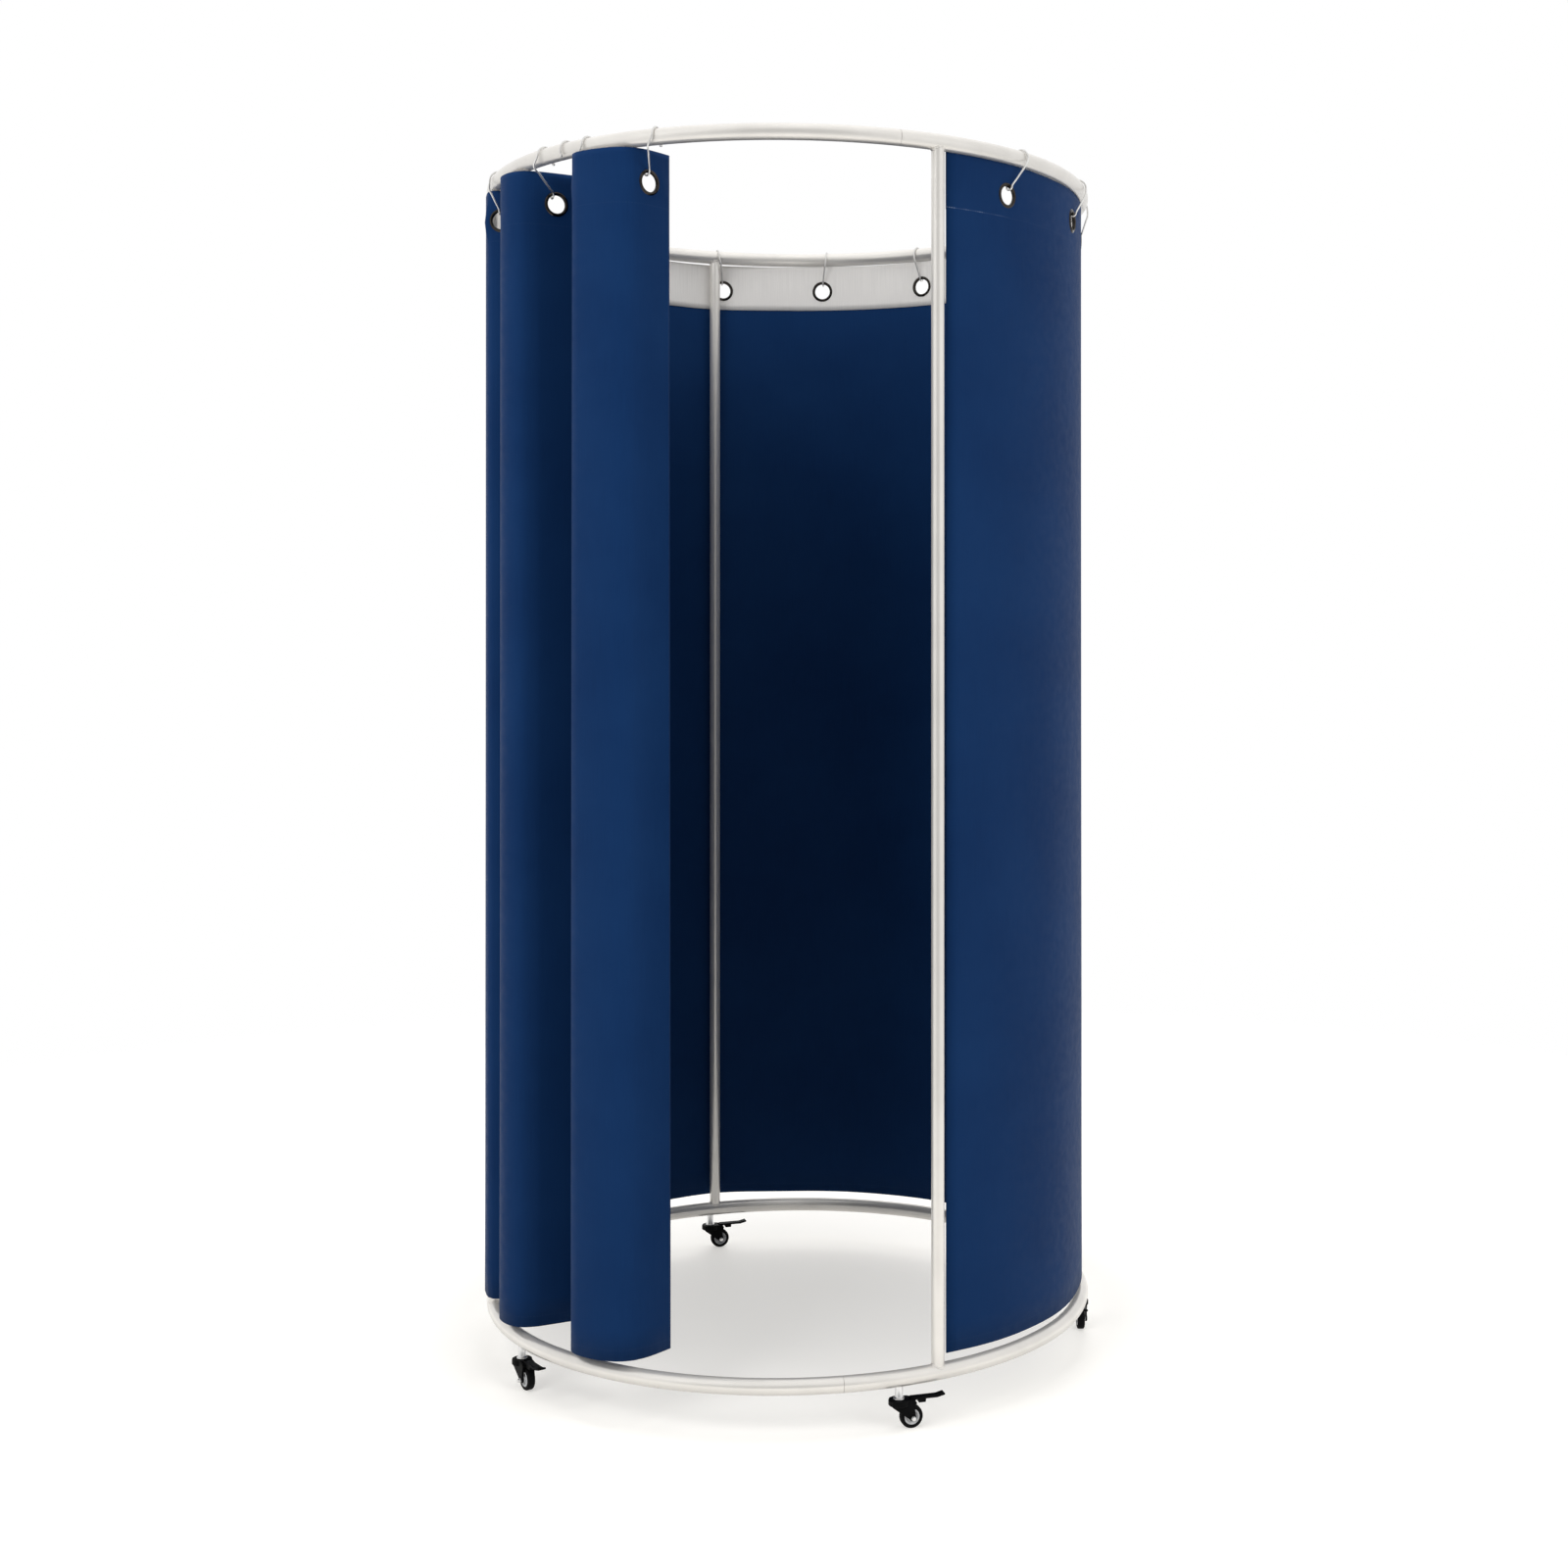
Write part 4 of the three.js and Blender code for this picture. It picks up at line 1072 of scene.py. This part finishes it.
def fork_mesh():
    """Two cheeks, a turned head round the stem, and the bridges between them."""
    back = -FORK_BACK + FORK_CORNER
    cheek = (
        arc_points((back, FORK_TOP - FORK_CORNER), FORK_CORNER, 90, 180, 5)
        + arc_points((back, FORK_UNDERSIDE + FORK_CORNER_LIFT), FORK_CORNER, 180, 235, 5)
        + arc_points((CASTER_TRAIL, WHEEL_RADIUS), FORK_BOSS, 205, 375, 18)
        + [(FORK_WAIST, (WHEEL_RADIUS + PIVOT[1]) / 2)]
        + arc_points(PIVOT, PIVOT_EAR, -40, 84, 10)
        + [(FORK_HEAD - FORK_EDGE, FORK_TOP - FORK_STEP)]
    )
    bm = bmesh.new()
    for low, high in ((-FORK_OUTSIDE, -FORK_INSIDE), (FORK_INSIDE, FORK_OUTSIDE)):
        add_plate(bm, cheek, low, high)
    rim = arc_points((FORK_HEAD - FORK_HEAD_EDGE, FORK_TOP - FORK_HEAD_EDGE), FORK_HEAD_EDGE,
                     0, 90, 6)
    head = [(FORK_BORE, FORK_UNDERSIDE), (FORK_HEAD - FORK_EDGE, FORK_UNDERSIDE),
            (FORK_HEAD, FORK_UNDERSIDE + FORK_EDGE), *rim, (FORK_BORE, FORK_TOP)]
    add_lathe(bm, head, LATHE_SIDES)
    bridge = (
        arc_points((back, FORK_TOP - FORK_STEP - FORK_CORNER), FORK_CORNER, 90, 180, 5)
        + [(-FORK_BACK, FORK_UNDERSIDE + FORK_EDGE), (-FORK_BACK + FORK_EDGE, FORK_UNDERSIDE),
           (FORK_HEAD - FORK_EDGE / 2, FORK_UNDERSIDE),
           (FORK_HEAD, FORK_UNDERSIDE + FORK_EDGE / 2), (FORK_HEAD, FORK_TOP - 2 * FORK_EDGE),
           (FORK_HEAD - BRIDGE_SLOPE[0], FORK_TOP - BRIDGE_SLOPE[1])]
    )
    inner, outer = FORK_BORE, FORK_INSIDE + FORK_LAP
    for low, high in ((-outer, -inner), (inner, outer)):
        add_plate(bm, bridge, low, high)
    return mesh_from("caster_fork", bm)


def pedal_mesh():
    """The plate with its stop block and turned-up end, its barrel and pin, and its ribs."""
    underside, tip_top = PEDAL_TOP - PEDAL_THICKNESS, PEDAL_TOP + PEDAL_TOE_RISE
    x = PIVOT[0]
    heel, tip = x - BARREL_RADIUS + PEDAL_HEEL, PEDAL_TIP - PEDAL_EDGE
    ramp = x + BARREL_RADIUS + PEDAL_HEEL
    back, front = STOP_SPAN
    low = underside - STOP_DEPTH
    ramp_foot, ramp_top = STOP_RAMP
    back_edge, front_edge, draft = STOP_EDGES
    plate = (
        arc_points((heel, PEDAL_TOP - PEDAL_HEEL), PEDAL_HEEL, 90, 180, 5)
        + arc_points(PIVOT, BARREL_RADIUS, 180, 360, 13)
        + arc_points((ramp, underside - PEDAL_HEEL), PEDAL_HEEL, 180, 90, 4)
        + [(back - ramp_foot, underside), (back - ramp_top, low + back_edge)]
        + arc_points((back - ramp_top + back_edge, low + back_edge), back_edge, 180, 270, 4)
        + arc_points((front - draft - front_edge, low + front_edge), front_edge, 270, 360, 4)
        + [(front - draft, low + front_edge), (front, underside), (PEDAL_TOE, underside)]
        + arc_points((tip, tip_top - PEDAL_THICKNESS + PEDAL_EDGE), PEDAL_EDGE, -70, 0, 4)
        + arc_points((tip, tip_top - PEDAL_EDGE), PEDAL_EDGE, 0, 100, 5)
        + [(PEDAL_TOE, PEDAL_TOP)]
    )
    bm = bmesh.new()
    add_plate(bm, plate, -PEDAL_HALF_WIDTH, PEDAL_HALF_WIDTH)
    add_plate(bm, arc_points(PIVOT, BARREL_RADIUS - BARREL_GAP, 0, 345, 24),
              -BARREL_HALF_LENGTH, BARREL_HALF_LENGTH)
    add_plate(bm, arc_points(PIVOT, PIVOT_PIN, 0, 330, 12), -FORK_OUTSIDE, FORK_OUTSIDE)
    slope = PEDAL_TOE_RISE / (PEDAL_TIP - PEDAL_TOE)
    (root, depth), (crest, height) = RIB_ROOT, RIB_CREST
    half = PEDAL_HALF_WIDTH - RIB_SHORTER
    for k in range(RIB_COUNT):
        rib = PEDAL_TIP - RIB_INSET - RIB_PITCH * k
        top = tip_top - slope * (PEDAL_TIP - rib)
        outline = [(rib - root, top - depth), (rib + root, top - depth),
                   (rib + crest, top + height), (rib - crest, top + height)]
        add_plate(bm, outline, -half, half)
    return mesh_from("caster_pedal", bm)


def axle(name, place):
    bm = bmesh.new()
    add_lathe(bm, axle_profile(), AXLE_SIDES, place)
    add_nut(bm, place)
    piece = new_piece(name, mesh_from(name, bm), BRIGHT)
    auto_smooth(piece)
    return piece


def caster(number, bearing, heading):
    foot = plan_point(bearing, RING_RADIUS)
    turned = Matrix.Translation(foot) @ Matrix.Rotation(radians(heading), 4, "Z")
    wheel = (turned @ Matrix.Translation((CASTER_TRAIL, 0, WHEEL_RADIUS))
             @ Matrix.Rotation(pi / 2, 4, "X"))
    made = {
        "stem": (lathe(f"caster_{number}_stem_turned", stem_profile(), BRIGHT,
                       place=Matrix.Translation(foot)), "bright_steel", "frame"),
        "tyre": (lathe(f"caster_{number}_tyre_round", rounded_tyre(), TYRE, TYRE_SIDES, wheel),
                 "black_tyre", f"wheel_{number}"),
        "hub": (lathe(f"caster_{number}_hub_round", hub_profile(), HUB, place=wheel),
                "grey_hub", f"wheel_{number}"),
        "axle": (axle(f"caster_{number}_axle_bolt", wheel), "bright_steel",
                 f"swivel_{number}"),
    }
    for part, mesh in (("fork", fork_mesh()), ("pedal", pedal_mesh())):
        mesh.transform(turned)
        piece = new_piece(f"caster_{number}_{part}_moulded", mesh, NYLON)
        auto_smooth(piece)
        bevel(piece, MOULDED_EDGE)
        body = f"swivel_{number}" if part == "fork" else f"brake_{number}"
        made[part] = (piece, "black_nylon", body)
    for part, (piece, slot_name, body) in made.items():
        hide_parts(f"caster_{number}_{part}")
        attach(piece, body)


# Build
for end, height, joint in (("top", TOP_RING_Z, TOP_JOINT),
                           ("bottom", BOTTOM_RING_Z, BOTTOM_JOINT)):
    ring_half(f"{end}_ring_right", height, joint)
    ring_half(f"{end}_ring_left", height, joint - 180)
    for number in (1, 2):
        spigot = nodes[f"{end}_ring_spigot_{number}"]
        spigot.material_slots[0].material = BRIGHT
for number in range(1, POST_COUNT + 1):
    post(number)
held = {g.number: (grommet(g), hook(g)) for g in GROMMETS}
for fold in (0, 3, 2, 1):
    curtain(fold)
for number, (bearing, heading) in enumerate(CASTERS, 1):
    caster(number, bearing, heading)


# Stage
def seen_rays(tree):
    """1 on rays that the camera, metal or glass sees."""
    rays = tree.nodes.new("ShaderNodeLightPath")
    mirrored = calc(tree, "MAXIMUM", rays.outputs["Is Glossy Ray"],
                    rays.outputs["Is Transmission Ray"])
    return calc(tree, "MAXIMUM", rays.outputs["Is Camera Ray"], mirrored)


def floor_material():
    """A pale floor that fades into the white background away from the object. Its glow for the
    camera, metal and glass is painted light: weaker inside the ring, where it stands in for
    light falling in through the open top, and stronger outside, where it makes the floor white.
    """
    made, tree, shader = new_material("Studio floor", Base_Color=FLOOR_COLOUR,
                                      Roughness=0.55, Specular_IOR_Level=0.2)
    place = tree.nodes.new("ShaderNodeTexCoord").outputs["Object"]
    reach = add(tree, "ShaderNodeVectorMath", {0: place}, operation="LENGTH")
    apart = add(tree, "ShaderNodeVectorMath", {0: place, 1: (0, FLOOR_REAR, 0)},
                operation="DISTANCE")
    # Painted light: a glow that the camera, metal and glass see, weaker inside the ring than
    # outside it
    painted_glow = fit(tree, apart.outputs["Value"], FLOOR_INSIDE, FLOOR_OUTSIDE, *FLOOR_PAINTED_LIGHT)
    strength = calc(tree, "MULTIPLY", seen_rays(tree), painted_glow)
    painted_light = add(tree, "ShaderNodeEmission", {"Color": FLOOR_TINT, "Strength": strength})
    lit = add(tree, "ShaderNodeAddShader", {0: shader.outputs[0], 1: painted_light.outputs[0]})
    fade = fit(tree, reach.outputs["Value"], FLOOR_FADE, FLOOR_RADIUS)
    clear = tree.nodes.new("ShaderNodeBsdfTransparent")
    both = add(tree, "ShaderNodeMixShader", {0: fade, 1: lit.outputs[0], 2: clear.outputs[0]})
    tree.links.new(both.outputs[0], tree.nodes["Material Output"].inputs["Surface"])
    return made


def floor():
    bm = bmesh.new()
    bmesh.ops.create_circle(bm, cap_ends=True, segments=FLOOR_SIDES, radius=FLOOR_RADIUS)
    mesh = mesh_from("studio_floor", bm)
    piece = new_piece("studio_floor", mesh, floor_material(), smooth=False)


def area_light(name, place, target, side, power):
    """A square lamp that metal doesn't mirror."""
    data = bpy.data.lights.new(name, "AREA")
    data.size = side
    data.energy = power
    lamp = bpy.data.objects.new(name, data)
    lamp.location = place
    aim = Vector(target) - Vector(place)
    lamp.rotation_euler = aim.to_track_quat("-Z", "Y").to_euler()
    lamp.visible_glossy = False
    bpy.context.scene.collection.objects.link(lamp)


def world():
    """White to the camera; to light and metal, a room that is darker behind the camera."""
    made = bpy.data.worlds.new("Studio")
    bpy.context.scene.world = made
    made.use_nodes = True
    tree = made.node_tree
    direction = add(tree, "ShaderNodeSeparateXYZ",
                    {0: tree.nodes.new("ShaderNodeTexCoord").outputs["Generated"]})
    room = fit(tree, direction.outputs["Y"], *WORLD_SHADE_SPAN, WORLD_SHADE, 1.0)
    strength = calc(tree, "MAXIMUM", seen_rays(tree), WORLD_LIGHT)
    straight = tree.nodes.new("ShaderNodeLightPath").outputs["Is Camera Ray"]
    strength = calc(tree, "MAXIMUM", calc(tree, "MULTIPLY", strength, room), straight)
    background = tree.nodes["Background"]
    background.inputs["Color"].default_value = (1, 1, 1, 1)
    tree.links.new(strength, background.inputs["Strength"])


def camera():
    data = bpy.data.cameras.new("Camera")
    data.sensor_width = SENSOR
    data.lens = SENSOR * FOCAL_PIXELS / PHOTO_SIDE
    data.shift_x = (PHOTO_SIDE / 2 - CENTRE_COLUMN) / PHOTO_SIDE
    data.shift_y = (HORIZON_ROW - PHOTO_SIDE / 2) / PHOTO_SIDE
    eye = bpy.data.objects.new("Camera", data)
    eye.location = EYE
    eye.rotation_euler = (pi / 2, 0, 0)
    bpy.context.scene.collection.objects.link(eye)
    bpy.context.scene.camera = eye


floor()
world()
for lamp in LAMPS:
    area_light(*lamp)
camera()
bpy.context.scene.view_settings.view_transform = "Standard"
